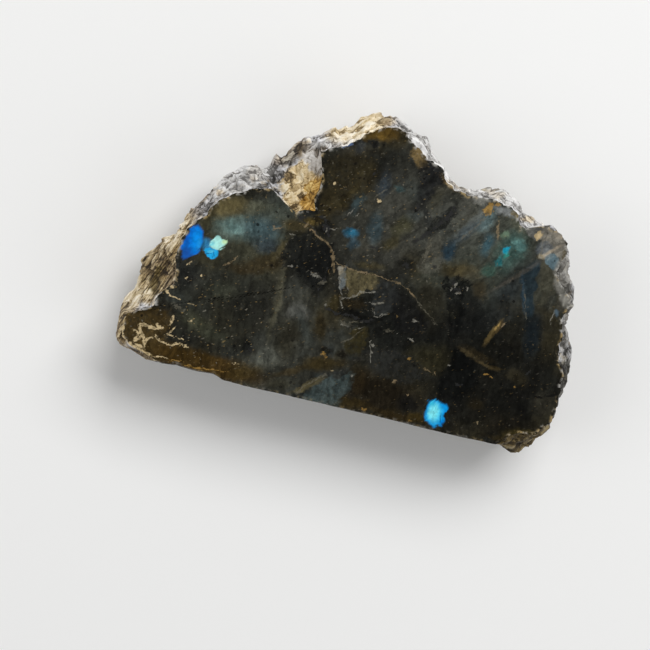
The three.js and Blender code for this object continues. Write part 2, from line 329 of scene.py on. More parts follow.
def stonePiece():
    count = slab["columns"]
    cells = count // 4
    # the square's first corner is the first column, so the columns start at the lower left
    turns = np.roll(evenTurns(count), count // 8)
    levels = np.concatenate([np.linspace(0, 1, slab["shoulderRows"] + 1),
                             1 + np.linspace(0, 1, slab["wallRows"] + 1)[1:]])
    side, fine, sawn, lower = sideSurface(turns, levels)
    face, column, share, toEdge = faceSurface(side[:count], cells)
    inner = share < 0.999999
    faceIndex = np.where(inner, 0, np.round(column).astype(int) % count)
    faceIndex[inner] = len(side) + np.arange(inner.sum())
    rows = len(levels)
    grid = np.arange(rows * count).reshape(rows, count)
    hub = np.array([*slab["hub"], 0.0])
    shares = np.linspace(1, 0, slab["backRows"] + 1)[1:-1]
    back = (hub + (side[-count:] - hub) * shares[:, None, None]).reshape(-1, 3)
    backStart = len(side) + inner.sum()
    backGrid = np.vstack([grid[-1:], backStart + np.arange(len(back)).reshape(-1, count)])
    pole = backStart + len(back)
    points = np.concatenate([side, face[inner], back, [hub]])

    def quads(index):
        right = np.roll(index, -1, axis=1)
        return np.stack([index[:-1], index[1:], right[1:], right[:-1]], -1).reshape(-1, 4)

    faceQuads = np.stack([faceIndex[:-1, :-1], faceIndex[:-1, 1:], faceIndex[1:, 1:], faceIndex[1:, :-1]],
                         -1).reshape(-1, 4)
    sideQuads, backQuads = quads(grid), quads(backGrid)
    last = backGrid[-1]
    fan = np.stack([last, np.full(count, pole), np.roll(last, -1)], -1)
    mesh = bpy.data.meshes.new("labradoriteStone")
    mesh.from_pydata((points * millimetre).tolist(), [],
                     np.concatenate([faceQuads, sideQuads, backQuads]).tolist() + fan.tolist())
    slots = np.repeat([0, 1, 2], [len(faceQuads), len(sideQuads), len(backQuads) + count])
    mesh.polygons.foreach_set("material_index", slots.astype(np.int32))
    mesh.polygons.foreach_set("use_smooth", np.ones(len(slots), bool))
    for name, start, values in (("fineRelief", 0, fine), ("sawnShare", 0, sawn), ("lowerShare", 0, lower),
                                ("toEdge", len(side), toEdge[inner])):
        whole = np.zeros(len(points), np.float32)
        whole[start:start + len(values)] = values
        mesh.attributes.new(name, "FLOAT", "POINT").data.foreach_set("value", whole)
    mesh.set_sharp_from_angle(angle=radians(38))
    mesh.validate()
    made = bpy.data.objects.new("labradoriteStone", mesh)
    bpy.context.scene.collection.objects.link(made)
    return made


# Colours are given as they look on a screen, 0 to 255.
def tint(red, green, blue):
    shown = np.array([red, green, blue]) / 255
    linear = np.where(shown < 0.04045, shown / 12.92, ((shown + 0.055) / 1.055) ** 2.4)
    return (*linear.tolist(), 1.0)


def newMaterial(name):
    material = bpy.data.materials.new(name)
    material.use_nodes = True
    return material, Painter(material.node_tree)


# Adds nodes to one tree. Each method returns the socket with its result; lengths are in millimetres.
class Painter:
    def __init__(self, tree):
        self.tree = tree

    # Makes a part of the pattern in a node group of its own, because Blender adds to a small tree faster.
    def group(self, name, result, make, *sources):
        inner = Painter(bpy.data.node_groups.new(name, "ShaderNodeTree"))
        kinds = {"RGBA": "NodeSocketColor", "VECTOR": "NodeSocketVector", "VALUE": "NodeSocketFloat"}
        inner.tree.interface.new_socket("result", in_out="OUTPUT", socket_type=kinds[result])
        for n, source in enumerate(sources):
            inner.tree.interface.new_socket(f"source{n}", in_out="INPUT", socket_type=kinds[source.type])
        starts = inner.add("NodeGroupInput").outputs
        made = make(inner, *[starts[n] for n in range(len(sources))])
        inner.put(inner.add("NodeGroupOutput").inputs[0], made)
        return self.add("ShaderNodeGroup", dict(enumerate(sources)), node_tree=inner.tree).outputs[0]

    def put(self, socket, value):
        if isinstance(value, bpy.types.NodeSocket):
            self.tree.links.new(value, socket)
        else:
            socket.default_value = value

    def add(self, kind, inputs=(), **settings):
        node = self.tree.nodes.new(kind)
        for name, value in settings.items():
            setattr(node, name, value)
        for key, value in dict(inputs).items():
            self.put(node.inputs[key], value)
        return node

    def place(self):
        inMetres = self.add("ShaderNodeTexCoord").outputs["Object"]
        return self.vector("SCALE", inMetres, scale=1 / millimetre)

    def attribute(self, name):
        return self.add("ShaderNodeAttribute", attribute_name=name).outputs["Fac"]

    def math(self, operation, a, b=0.0, c=0.0, clamp=False):
        return self.add("ShaderNodeMath", {0: a, 1: b, 2: c}, operation=operation,
                        use_clamp=clamp).outputs[0]

    def vector(self, operation, a, b=(0, 0, 0), scale=1.0):
        inputs = {0: a, "Scale": scale} if operation == "SCALE" else {0: a, 1: b}
        node = self.add("ShaderNodeVectorMath", operation=operation)
        for key, value in inputs.items():
            if not (operation == "LENGTH" and key == 1):
                self.put(node.inputs[key], value)
        return node.outputs["Value" if operation in ("LENGTH", "DOT_PRODUCT") else "Vector"]

    def parts(self, vector):
        return self.add("ShaderNodeSeparateXYZ", {0: vector}).outputs

    # Three random values, the same all over each cell.
    def blocks(self, place, scale):
        return self.add("ShaderNodeSeparateColor", {0: self.cells(place, scale)["Color"]}).outputs

    def brighter(self, colour, scale):
        return self.add("ShaderNodeHueSaturation", {"Color": colour, "Value": scale}).outputs[0]

    def mix(self, share, low, high):
        node = self.add("ShaderNodeMix", data_type="RGBA")
        for socket, value in ((node.inputs[0], share), (node.inputs[6], low), (node.inputs[7], high)):
            self.put(socket, value)
        return node.outputs[2]

    def step(self, value, low, high, bottom=0.0, top=1.0):
        node = self.add("ShaderNodeMapRange", {"Value": value, "From Min": low, "From Max": high,
                                               "To Min": bottom, "To Max": top},
                        interpolation_type="SMOOTHSTEP", clamp=False)
        return node.outputs[0]

    def noise(self, place, scale, detail=2.0, rough=0.5, colour=False):
        node = self.add("ShaderNodeTexNoise", {"Vector": place, "Scale": scale, "Detail": detail,
                                               "Roughness": rough})
        return node.outputs["Color" if colour else "Fac"]

    def cells(self, place, scale, feature="F1"):
        return self.add("ShaderNodeTexVoronoi", {"Vector": place, "Scale": scale}, feature=feature).outputs

    def mapped(self, place, centre=(0, 0, 0), angle=0.0, size=(1, 1, 1)):
        node = self.add("ShaderNodeMapping", {"Vector": place, "Location": centre,
                                              "Rotation": (0, 0, radians(angle)), "Scale": size},
                        vector_type="TEXTURE")
        return node.outputs[0]

    def shaken(self, place, scale, reach, detail=2.0):
        return self.moved(place, self.noise(place, scale, detail, 0.6, colour=True), reach)

    # Moves each splinter of the stone as a whole, so that edges run in short straight steps.
    def splintered(self, place, scale, reach):
        grain = self.mapped(place, angle=48, size=(1.7, 0.8, 1))
        return self.moved(place, self.cells(grain, scale)["Color"], reach)

    def moved(self, place, random, reach):
        way = self.vector("SUBTRACT", random, (0.5, 0.5, 0.5))
        return self.vector("ADD", place, self.vector("SCALE", way, scale=reach))

    # The value read off a line through the points (x, y), all from 0 to 1.
    def curve(self, value, x, y):
        node = self.add("ShaderNodeFloatCurve", {"Value": value})
        node.mapping.extend = "HORIZONTAL"
        line = node.mapping.curves[0]
        line.points[0].location = (x[0], y[0])
        line.points[1].location = (x[-1], y[-1])
        for point in zip(x[1:-1], y[1:-1]):
            line.points.new(*point)
        for point in line.points:
            point.handle_type = "VECTOR"
        node.mapping.update()
        return node.outputs[0]

    # Colours along a scale from 0 to 1.
    def ramp(self, value, *stops):
        node = self.add("ShaderNodeValToRGB", {0: value})
        marks = node.color_ramp.elements
        while len(marks) < len(stops):
            marks.new(0.5)
        for mark, (position, colour) in zip(marks, stops):
            mark.position, mark.color = position, tint(*colour)
        return node.outputs[0]

    # 1 in an ellipse's middle, falling evenly to 0 at its outline. Height makes no difference.
    def spot(self, place, x, y, long, wide, angle):
        node = self.add("ShaderNodeTexGradient", {"Vector": place}, gradient_type="SPHERICAL")
        fit = node.texture_mapping
        fit.vector_type = "TEXTURE"
        fit.translation, fit.rotation, fit.scale = (x, y, 0), (0, 0, radians(angle)), (long, wide, 1000)
        return node.outputs["Fac"]

    # An ellipse, 1 inside and 0 outside, with an edge as wide as it is soft.
    def ellipse(self, place, x, y, long, wide, angle, strength=1.0, soft=1.0):
        reach = 1 + 0.5 * soft
        inside = self.spot(place, x, y, long * reach, wide * reach, angle)
        return self.step(inside, 0, 1 - (1 - 0.75 * soft) / reach, 0, strength)

    # Lays ellipses of colour over a colour, one after another.
    def clouds(self, under, place, rows):
        for x, y, long, wide, angle, colour, strength, soft in rows:
            share = self.ellipse(place, x, y, long, wide, angle, strength, soft)
            under = self.mix(share, under, tint(*colour))
        return under

    # The same for shapes with corners, which cover unevenly.
    def shapes(self, under, place, patchy, rows):
        for colour, strength, soft, outline in rows:
            share = self.step(self.shape(place, outline), 1 + 0.4 * soft, 1 - 0.5 * soft, 0, strength)
            under = self.mix(self.math("MULTIPLY", share, patchy), under, tint(*colour))
        return under

    # How far a place is from a shape's middle: 1 on its outline. Its radius is a curve of the turn.
    def shape(self, place, outline):
        outline = np.array(outline, float)
        centre = (outline.min(0) + outline.max(0)) / 2
        x, y = (outline - centre).T
        reach = np.hypot(x, y).max()
        turn = (np.arctan2(y, x) + pi) / (2 * pi)
        turns = np.concatenate([[0], np.sort(turn), [1]])
        radii = np.interp(turns, turn[np.argsort(turn)], np.hypot(x, y)[np.argsort(turn)] / reach, period=1)
        starts = zip(np.eye(2), -centre / reach)
        x, y = (self.along(place, axis, start, 1 / reach) for axis, start in starts)
        share = self.math("MULTIPLY_ADD", self.math("ARCTAN2", y, x), 1 / (2 * pi), 0.5)
        edge = self.curve(share, turns.tolist(), radii.tolist())
        square = self.math("MULTIPLY_ADD", x, x, self.math("MULTIPLY", y, y))
        return self.math("DIVIDE", self.math("SQRT", square), edge)

    # A line through the points, none of which turns back: 1 on it, falling evenly to 0 at three half widths.
    def line(self, place, points, halfWidth):
        points = np.array(points, float)
        along = points[-1] - points[0]
        length = np.hypot(*along)
        along, across = along / length ** 2, np.array([-along[1], along[0]]) / length ** 2
        u, v = (points - points[0]) @ along, (points - points[0]) @ across + 0.5
        part = self.along(place, along, -points[0] @ along)
        line = self.curve(part, u.tolist(), v.tolist())
        offset = self.along(place, across, 0.5 - points[0] @ across)
        away = self.math("ABSOLUTE", self.math("SUBTRACT", offset, line))
        near = self.math("MULTIPLY_ADD", away, -length / halfWidth / 3, 1.0)
        return self.math("MULTIPLY", near, self.math("COMPARE", part, 0.5, 0.5))

    # How far along a direction a place is, from a start.
    def along(self, place, direction, start, scale=1.0):
        way = self.vector("DOT_PRODUCT", place, (*(np.array(direction) * scale).tolist(), 0))
        return self.math("ADD", way, float(start))

    # Joins colour, roughness and a relief in millimetres to the shader.
    def finish(self, colour, roughness, height, strength, reach):
        shader = self.tree.nodes["Principled BSDF"]
        depth = reach * millimetre
        bump = self.add("ShaderNodeBump", {"Height": height, "Strength": strength, "Distance": depth})
        for name, value in (("Base Color", colour), ("Roughness", roughness), ("Normal", bump.outputs[0])):
            self.put(shader.inputs[name], value)

    # All the lines and short strokes of one colour. The uneven value, from -0.5 to 0.5, makes them thick
    # and thin.
    def strokes(self, place, uneven, lines, strokes):
        most = 0.0
        for points, width in lines:
            most = self.math("MAXIMUM", self.line(place, points, width), most)
        for x, y, long, wide, angle in strokes:
            most = self.math("MAXIMUM", self.spot(place, x, y, 3 * long, 3 * wide, angle), most)
        return self.step(self.math("MULTIPLY_ADD", uneven, 0.9, most), 0.58, 0.76)


# The bulk of the stone: near-black feldspar, clouded with olive, brown and blue-grey.
def mineral(paint, place, cloudy):
    soft = paint.shaken(place, 0.15, 6)
    olive = paint.step(paint.noise(soft, 0.085, 3), 0.42, 0.66, 0, cloudy)
    colour = paint.mix(olive, tint(37, 37, 32), tint(64, 57, 36))
    cool = paint.noise(paint.vector("ADD", soft, (31, 17, 5)), 0.1, 3)
    colour = paint.mix(paint.step(cool, 0.5, 0.68, 0, cloudy), colour, tint(58, 63, 62))
    dark = paint.noise(paint.vector("ADD", soft, (-13, 41, 9)), 0.13, 4, 0.6)
    return paint.mix(paint.step(dark, 0.5, 0.64, 0, cloudy), colour, tint(21, 21, 20))


# Fine marks that are all over the stone: mottling, dark flecks, and pale grains and short splinters.
def fineMarks(paint, place, colour, dusty=1.0):
    mottle = paint.noise(place, 0.9, 5, 0.7)
    colour = paint.brighter(colour, paint.step(mottle, 0.3, 0.7, 0.74, 1.25))
    ragged = paint.shaken(place, 2.2, 0.5, 3)
    crowd = paint.noise(place, 0.16, 2)
    # split patches with straight sides, each a little lighter or darker
    for angle, scale, spread in ((48, 0.34, 0.2), (100, 0.95, 0.15)):
        block = paint.mapped(paint.shaken(place, 0.5, 1.2, 4), (5, 2, 0), angle, (1.5, 0.8, 1))
        shade = paint.step(paint.blocks(block, scale)[0], 0, 1, 1 - spread, 1 + spread)
        colour = paint.brighter(colour, shade)
    fleck = paint.cells(ragged, 0.5)
    flecks = paint.math("MULTIPLY", paint.step(fleck["Distance"], 0.2, 0.1),
                        paint.step(crowd, 0.5, 0.62, 0, 0.8))
    colour = paint.mix(flecks, colour, tint(13, 13, 12))
    grains = ((38, (2.6, 0.8, 1), 0.7, 0.1, 0.4), (-62, (1.5, 0.9, 1), 0.6, 0.085, 0.5),
              (0, (1, 1, 1), 1.1, 0.1, 0.45), (28, (2, 0.8, 1), 1.9, 0.2, 0.4))
    for angle, size, scale, width, strength in grains:
        grain = paint.cells(paint.mapped(ragged, (7, 3, 0), angle, size), scale)
        random = paint.add("ShaderNodeSeparateColor", {0: grain["Color"]}).outputs
        near = paint.step(grain["Distance"], width * 1.4, width * 0.6)
        chosen = paint.step(random[0], 0.45, 0.6)
        chosen = paint.math("MULTIPLY", chosen, paint.step(random[1], 0.2, 0.8, 0.15, strength))
        colour = paint.mix(paint.math("MULTIPLY", paint.math("MULTIPLY", near, chosen), dusty), colour,
                           paint.mix(random[2], tint(150, 146, 132), tint(190, 158, 98)))
    return colour


# Marks of the polish, in mm from the origin. A cloud has x, y, half length, half width, turn, colour,
# strength and softness of its edge; the wide tones come first. The blue, teal and blue-grey marks here and
# in the tables below are painted labradorescent sheen; the olive, brown, grey and black ones are the stone's
# own colour.
faceClouds = [
    (-22, 6, 13, 8, 8, (60, 60, 48), 0.9, 1), (-24, -9, 11, 9, 0, (40, 40, 33), 0.7, 1),
    (-9, -10, 14, 6.5, 85, (54, 54, 47), 0.85, 1), (7, 17, 15, 8, 60, (60, 60, 54), 0.9, 0.9),
    (26, 13, 15, 8, 48, (64, 67, 59), 0.9, 0.9), (33, -11, 16, 14, 0, (21, 21, 18), 0.95, 0.8),
    (11, -5, 12, 7, -20, (23, 24, 22), 0.95, 0.8), (-9, 4, 5.5, 5.5, 0, (29, 29, 26), 0.85, 0.7),
    (38, 11, 8, 5, 80, (58, 58, 51), 0.75, 0.9), (25, -1, 7, 3.5, 10, (22, 23, 22), 0.8, 0.8),
    (22.5, 4, 4, 3, 30, (30, 31, 29), 0.8, 0.8), (23.6, -0.4, 0.9, 1.8, 0, (15, 16, 15), 0.7, 0.7),
    (24.2, -14.6, 1.3, 3.2, 0, (14, 15, 14), 0.7, 0.7), (13, 27, 0.8, 2, 40, (62, 54, 36), 0.6, 0.8),
    (12, -19, 9, 4.5, 0, (30, 25, 16), 0.9, 0.8),
    (-25, -20.8, 13, 2.6, -3, (60, 45, 18), 0.92, 0.6), (11.4, 24, 6.5, 2, 78, (34, 34, 32), 0.8, 0.7),
    (20, -10, 5, 3, 0, (44, 41, 26), 0.7, 0.9), (38.5, -20, 6, 3, 0, (27, 24, 17), 0.7, 0.9),
    # upper left
    (-24.2, 7.6, 4.4, 2.6, 12, (98, 117, 110), 0.85, 1), (-19.3, 8.2, 4.2, 3, 0, (65, 84, 88), 0.85, 1),
    (-17, 5.2, 2.8, 1.8, 0, (46, 55, 60), 0.75, 0.9), (-26.6, 10.9, 3.8, 2.1, 30, (106, 96, 64), 0.8, 0.8),
    (-18, 12, 4.6, 2.2, 8, (70, 76, 68), 0.65, 1), (-29.8, 8, 1.5, 2.6, 0, (58, 53, 34), 0.7, 0.9),
    (-17.5, 1.2, 5.4, 1.8, 20, (50, 43, 28), 0.85, 0.8),
    (-14.6, 4.8, 0.9, 2.7, -25, (76, 69, 46), 0.75, 0.7),
    (-9.3, 12.3, 2.2, 1.3, 30, (90, 76, 38), 0.85, 0.8), (-12.6, 10.6, 2.6, 1.2, 0, (74, 66, 44), 0.8, 0.8),
    (-22, -0.6, 2.6, 0.8, 10, (50, 42, 27), 0.6, 0.9), (-14, 8.9, 2.2, 0.8, 5, (46, 44, 36), 0.5, 0.9),
    # lower left
    (-32, -3, 3.2, 3.4, 0, (33, 34, 32), 0.85, 0.9), (-23.5, -5.4, 3.4, 1.8, 10, (54, 56, 46), 0.7, 1),
    (-27.5, -13.2, 3.8, 1.9, -20, (62, 63, 49), 0.75, 1), (-23.6, -14.8, 3, 1.3, 0, (56, 58, 47), 0.6, 1),
    (-34.2, -12, 2, 1.8, 0, (40, 38, 32), 0.8, 0.8), (-18, -7, 4, 4.5, 0, (34, 34, 30), 0.6, 1),
    (-16.5, -16, 1.4, 1.8, 0, (24, 25, 24), 0.75, 0.7), (-12.2, -16.8, 3, 1.7, 28, (82, 84, 76), 0.8, 1),
    (-18.5, -17.5, 2.4, 1.6, 0, (46, 48, 44), 0.5, 1), (-12.7, -5, 0.8, 8.5, 2, (76, 74, 60), 0.75, 0.8),
    # lower middle
    (-24.4, 7.3, 2.1, 1.2, 0, (102, 132, 129), 0.6, 1), (-21, 12.2, 3, 1.2, 20, (84, 84, 68), 0.6, 1),
    (-1, 2.2, 0.6, 2.2, 4, (104, 110, 110), 0.8, 0.5), (-1.9, 3.4, 0.5, 0.8, 0, (160, 152, 134), 0.8, 0.5),
    (-9.6, -2, 2.4, 2.6, 0, (62, 63, 57), 0.8, 0.9), (-8, -6.6, 2.4, 1.8, 0, (84, 85, 80), 0.85, 0.9),
    (-6.2, -9.6, 1.2, 3.6, 32, (60, 64, 60), 0.75, 0.9), (-9, -12.4, 2.3, 4, 0, (41, 39, 30), 0.8, 0.8),
    (-3.3, -8, 1.1, 3.4, 8, (44, 38, 23), 0.85, 0.7), (-0.7, -15.5, 4, 1.8, 12, (56, 47, 25), 0.85, 0.8),
    (-6.5, -18.4, 4.6, 0.8, 28, (58, 48, 26), 0.6, 0.9), (-8, -21.8, 2.6, 1.4, 20, (54, 52, 40), 0.6, 1),
    (-16, -20.6, 3.4, 1.8, 20, (60, 50, 26), 0.6, 1), (-2.6, -20.4, 3.8, 0.7, 38, (92, 84, 58), 0.7, 0.7),
    (1, -10.4, 1.6, 1.3, 0, (42, 42, 36), 0.6, 0.9), (2.2, -4.4, 3.4, 1, 0, (15, 15, 14), 0.85, 0.6),
    (-1.4, -3, 1, 1.9, -25, (52, 46, 27), 0.8, 0.6), (2.6, -2.4, 2.6, 0.9, 8, (40, 34, 22), 0.8, 0.6),
    (2.6, -6.8, 2.6, 0.8, 0, (42, 44, 41), 0.6, 0.8), (0, -8.6, 1.2, 0.8, 30, (46, 48, 44), 0.5, 0.9),
    (-1, -12.6, 1.4, 0.7, 0, (20, 18, 12), 0.8, 0.7), (2.4, -12.9, 1.2, 0.8, 0, (18, 16, 11), 0.8, 0.7),
    (7, -17.4, 2, 2.6, 0, (42, 33, 18), 0.7, 0.9), (6, -22.2, 5, 1.2, 0, (50, 40, 18), 0.7, 0.8),
    # lower right
    (17.5, -19.8, 2.4, 2, 0, (16, 16, 15), 0.8, 0.7), (16, -22.6, 5, 1, 0, (48, 38, 18), 0.7, 0.8),
    (27, -11, 2.8, 4.6, 12, (11, 12, 11), 0.9, 0.6), (27, -17, 1.8, 1.8, 0, (27, 28, 26), 0.6, 0.9),
    (29.6, -6.9, 3.6, 0.8, -14, (42, 36, 23), 0.75, 0.7), (33.4, -9, 1.6, 0.4, 8, (62, 52, 30), 0.6, 0.7),
    (31.4, -2, 0.6, 3, -22, (76, 62, 36), 0.75, 0.6), (38, -9.6, 2.4, 1.6, -20, (44, 40, 28), 0.7, 0.9),
    (45, -14, 2.4, 2.8, 0, (44, 42, 34), 0.75, 0.9), (43.8, -12.6, 1.1, 0.3, 12, (12, 12, 11), 0.9, 0.5),
    (46, -11.4, 1.5, 0.35, 25, (15, 15, 14), 0.8, 0.5), (41, -15.6, 1.2, 1, -35, (14, 14, 13), 0.7, 0.7),
    (31.5, -16.6, 1.6, 1.2, 0, (40, 34, 20), 0.6, 0.9), (21, -22.2, 3, 1, 0, (52, 42, 18), 0.8, 0.7),
    (42, -21, 4, 1.4, 8, (62, 54, 26), 0.85, 0.8), (38.2, -22.5, 3, 0.8, 0, (46, 38, 18), 0.6, 0.9),
    # upper middle
    (-7.2, 16.6, 1.8, 3, 0, (54, 47, 27), 0.75, 0.8), (-3.8, 18.4, 1, 3.4, -28, (66, 58, 34), 0.8, 0.8),
    (-2.2, 24.2, 2.6, 1.4, 50, (56, 51, 33), 0.7, 0.9), (-5, 27.2, 3.2, 1.2, 28, (64, 61, 51), 0.75, 0.9),
    (-6.6, 28.2, 1.1, 0.4, 12, (86, 110, 150), 0.8, 0.7), (0.4, 32, 2.8, 1.5, 0, (90, 70, 30), 0.9, 0.7),
    (-2.2, 30.9, 1.6, 0.7, 30, (84, 66, 30), 0.7, 0.8), (-1, 29.7, 1.1, 0.6, 0, (22, 22, 21), 0.9, 0.6),
    (-3.8, 28.6, 0.9, 1.6, 0, (56, 60, 62), 0.6, 0.9), (3, 30.6, 2.2, 1.3, 0, (56, 50, 34), 0.6, 0.9),
    (4, 28, 2.6, 2.6, 0, (38, 38, 33), 0.7, 0.9), (5.6, 22.2, 1, 0.7, 0, (60, 78, 78), 0.8, 0.9),
    (2.6, 22.2, 1.3, 2.6, 0, (48, 56, 62), 0.75, 0.9), (8.6, 22.6, 2, 2.4, 60, (60, 64, 60), 0.7, 1),
    (9.6, 17.6, 1.8, 1, 40, (74, 80, 78), 0.7, 1), (8.2, 15, 1.6, 2.6, -30, (66, 64, 44), 0.7, 0.9),
    (-1.8, 17.6, 1.3, 2, -10, (58, 72, 74), 0.8, 0.9), (3, 13.4, 1.5, 3, 8, (58, 72, 76), 0.85, 0.9),
    (-1.5, 11.3, 1.5, 1.2, 10, (42, 98, 124), 0.9, 0.9), (-0.6, 9.4, 1.2, 0.9, 0, (58, 82, 94), 0.6, 1),
    (6.8, 11.4, 1.2, 2, -35, (62, 57, 36), 0.7, 0.9), (3.6, 5.8, 3, 0.9, 4, (66, 60, 40), 0.7, 0.9),
    (13.6, 21.6, 1.4, 2.6, 0, (60, 58, 46), 0.7, 0.9), (14.5, 18.8, 1.5, 1.8, 0, (64, 64, 56), 0.6, 1),
    (12.6, 18, 0.8, 2.4, 35, (30, 31, 31), 0.85, 0.6), (16.3, 18.6, 1, 2, -25, (26, 27, 27), 0.9, 0.6),
    (14, 15.6, 1.6, 0.5, 28, (20, 20, 19), 0.8, 0.7), (10.6, 8, 1.5, 1.1, 0, (28, 28, 25), 0.8, 0.7),
    (15, 25.6, 2.2, 0.7, -28, (110, 92, 62), 0.8, 0.7), (11, 28.4, 2, 0.8, -12, (52, 53, 55), 0.7, 0.8),
    (-6.6, 10.8, 1.8, 1.4, 25, (27, 28, 26), 0.85, 0.6),
    (-5.4, 5.6, 1.4, 3.4, -12, (22, 22, 21), 0.85, 0.6),
    # upper right
    (20, 18, 9, 6, 30, (80, 82, 76), 0.5, 1), (23, 24, 1.6, 0.6, 0, (134, 132, 124), 0.8, 0.9),
    (24.4, 20, 1.5, 3.2, -22, (82, 99, 100), 0.85, 0.9),
    (25.4, 15.2, 1.3, 2.4, -10, (50, 76, 84), 0.85, 0.9),
    (21, 17, 1.2, 4.4, -38, (72, 82, 86), 0.7, 0.9), (18.2, 12.2, 1.3, 2.4, -30, (40, 60, 72), 0.85, 0.8),
    (22.4, 20.4, 0.9, 2.6, -30, (94, 98, 94), 0.6, 0.9), (21.5, 9.2, 4.4, 1.7, 8, (66, 58, 37), 0.85, 0.9),
    (17, 2.6, 3.2, 2.6, -30, (36, 34, 26), 0.85, 0.8), (22.2, 0.6, 1.2, 1.6, 0, (56, 54, 43), 0.7, 0.8),
    (26.4, 6.4, 1.6, 2.2, 20, (58, 50, 34), 0.7, 0.9), (26, 3, 1.6, 2, 0, (26, 26, 24), 0.7, 0.8),
    (24, 8.6, 1.6, 2, 0, (68, 66, 54), 0.6, 1), (30.6, 15, 3, 4.4, -15, (58, 82, 76), 0.85, 0.9),
    (27.4, 10.6, 1.6, 1.2, 30, (52, 78, 68), 0.75, 0.9),
    (31.8, 16.6, 1.6, 1.2, 0, (84, 120, 116), 0.85, 0.9),
    (28.4, 17.8, 1.1, 0.7, 20, (92, 112, 92), 0.7, 0.8),
    (28.8, 12.7, 0.9, 1, -30, (40, 104, 108), 0.85, 0.7),
    (29.5, 14.9, 0.5, 0.9, -12, (20, 142, 168), 0.9, 0.6), (30, 14, 0.5, 0.6, 0, (48, 138, 126), 0.7, 0.8),
    (31, 20.6, 2, 1.4, -30, (88, 90, 76), 0.7, 0.9), (27.6, 22.8, 2.4, 1, -10, (124, 127, 126), 0.85, 0.8),
    (22, 23.4, 1.6, 0.9, 0, (112, 112, 106), 0.8, 0.7), (19.4, 22.8, 1.2, 2, 15, (70, 70, 64), 0.6, 0.9),
    (34.6, 12.5, 2.6, 5, -35, (46, 50, 48), 0.6, 1), (32, 7.6, 3, 2, 40, (38, 43, 45), 0.7, 1),
    (39.2, -0.6, 1.8, 4.4, 6, (27, 34, 38), 0.85, 0.9), (42.6, 14.4, 0.8, 3, 12, (124, 124, 117), 0.8, 0.8),
    (43.6, 8.4, 0.9, 3, 0, (76, 74, 66), 0.7, 0.9), (42.8, 4.8, 0.6, 0.8, 0, (74, 90, 100), 0.8, 0.8),
    (30, 22.6, 1.4, 0.6, -20, (118, 104, 70), 0.7, 0.7),
]

# Shapes with corners: colour, strength, softness and outline. The facets by the upper right corner have the
# straighter edges, and soft bands lie over them. Their blue-grey and blue tones are painted labradorescent
# sheen.
facets = [
    ((98, 98, 94), 0.8, 0.3, [(32.6, 20.2), (34, 21.4), (35.8, 21.8), (36.1, 20.4), (35.4, 18.4),
                              (34, 18.8)]),
    ((34, 47, 54), 0.85, 0.3, [(33.9, 11.2), (36.8, 14.7), (37.2, 12.6), (37.6, 9.5), (38.3, 5.5),
                               (38.2, 3.6), (37, 2.4), (36, 5.4), (35, 8.4)]),
    ((66, 65, 54), 0.8, 0.25, [(37.2, 14.8), (38.8, 14.3), (40.8, 12.8), (40.6, 8), (38.4, 5), (38, 9.5),
                               (37.4, 12.6)]),
    ((124, 120, 110), 0.92, 0.25, [(35.9, 21.3), (37.4, 21.9), (39.6, 20.9), (41.1, 19.2), (40.7, 16),
                                   (39.4, 16.6), (37.4, 15), (36.6, 15.6), (36.1, 18.5)]),
    ((88, 95, 100), 0.7, 0.6, [(36, 18.4), (38.2, 18.4), (38.8, 17.2), (37.6, 15.6), (36.5, 15.4)]),
    ((84, 104, 112), 0.8, 0.3, [(37.5, 15.1), (39.2, 16.6), (40.4, 15.8), (40.4, 13.4), (38.8, 14.3)]),
    ((196, 174, 132), 0.85, 0.4, [(34.5, 19.1), (34.9, 19.9), (35.4, 20.6), (35.6, 19), (35.2, 18.5)]),
    ((124, 122, 115), 0.85, 0.4, [(40.8, 16.2), (42, 16.4), (44.6, 10.4), (45.2, 7), (44, 6.6), (42.4, 9),
                                  (40.7, 12)]),
]
softBands = [
    (33, 10.6, 6.3, 0.45, 45, (88, 83, 74), 0.5, 1), (38.6, 17, 2.6, 0.4, 44, (158, 146, 126), 0.75, 0.9),
    (36.7, 15.4, 0.7, 0.5, 0, (158, 144, 112), 0.7, 0.9),
    (35.2, 7.4, 0.25, 4.4, 17, (54, 72, 84), 0.5, 0.9),
    (39.2, 20.4, 1.2, 0.8, 0, (140, 132, 118), 0.6, 0.9), (41.2, 15.4, 0.3, 4, 0, (84, 74, 52), 0.6, 0.9),
    (-29.2, 2.7, 1.5, 1.1, 0, (46, 122, 168), 0.9, 0.9),
    (27.5, -7.1, 2.6, 0.5, -18, (70, 61, 41), 0.7, 0.8),
    (31.6, -8.6, 2.6, 0.35, -10, (72, 62, 40), 0.7, 0.8),
    (31.1, -1.7, 0.45, 3, -22, (98, 84, 52), 0.8, 0.9),
    (31.7, -0.3, 0.16, 1.3, -20, (146, 120, 70), 0.7, 0.8),
]
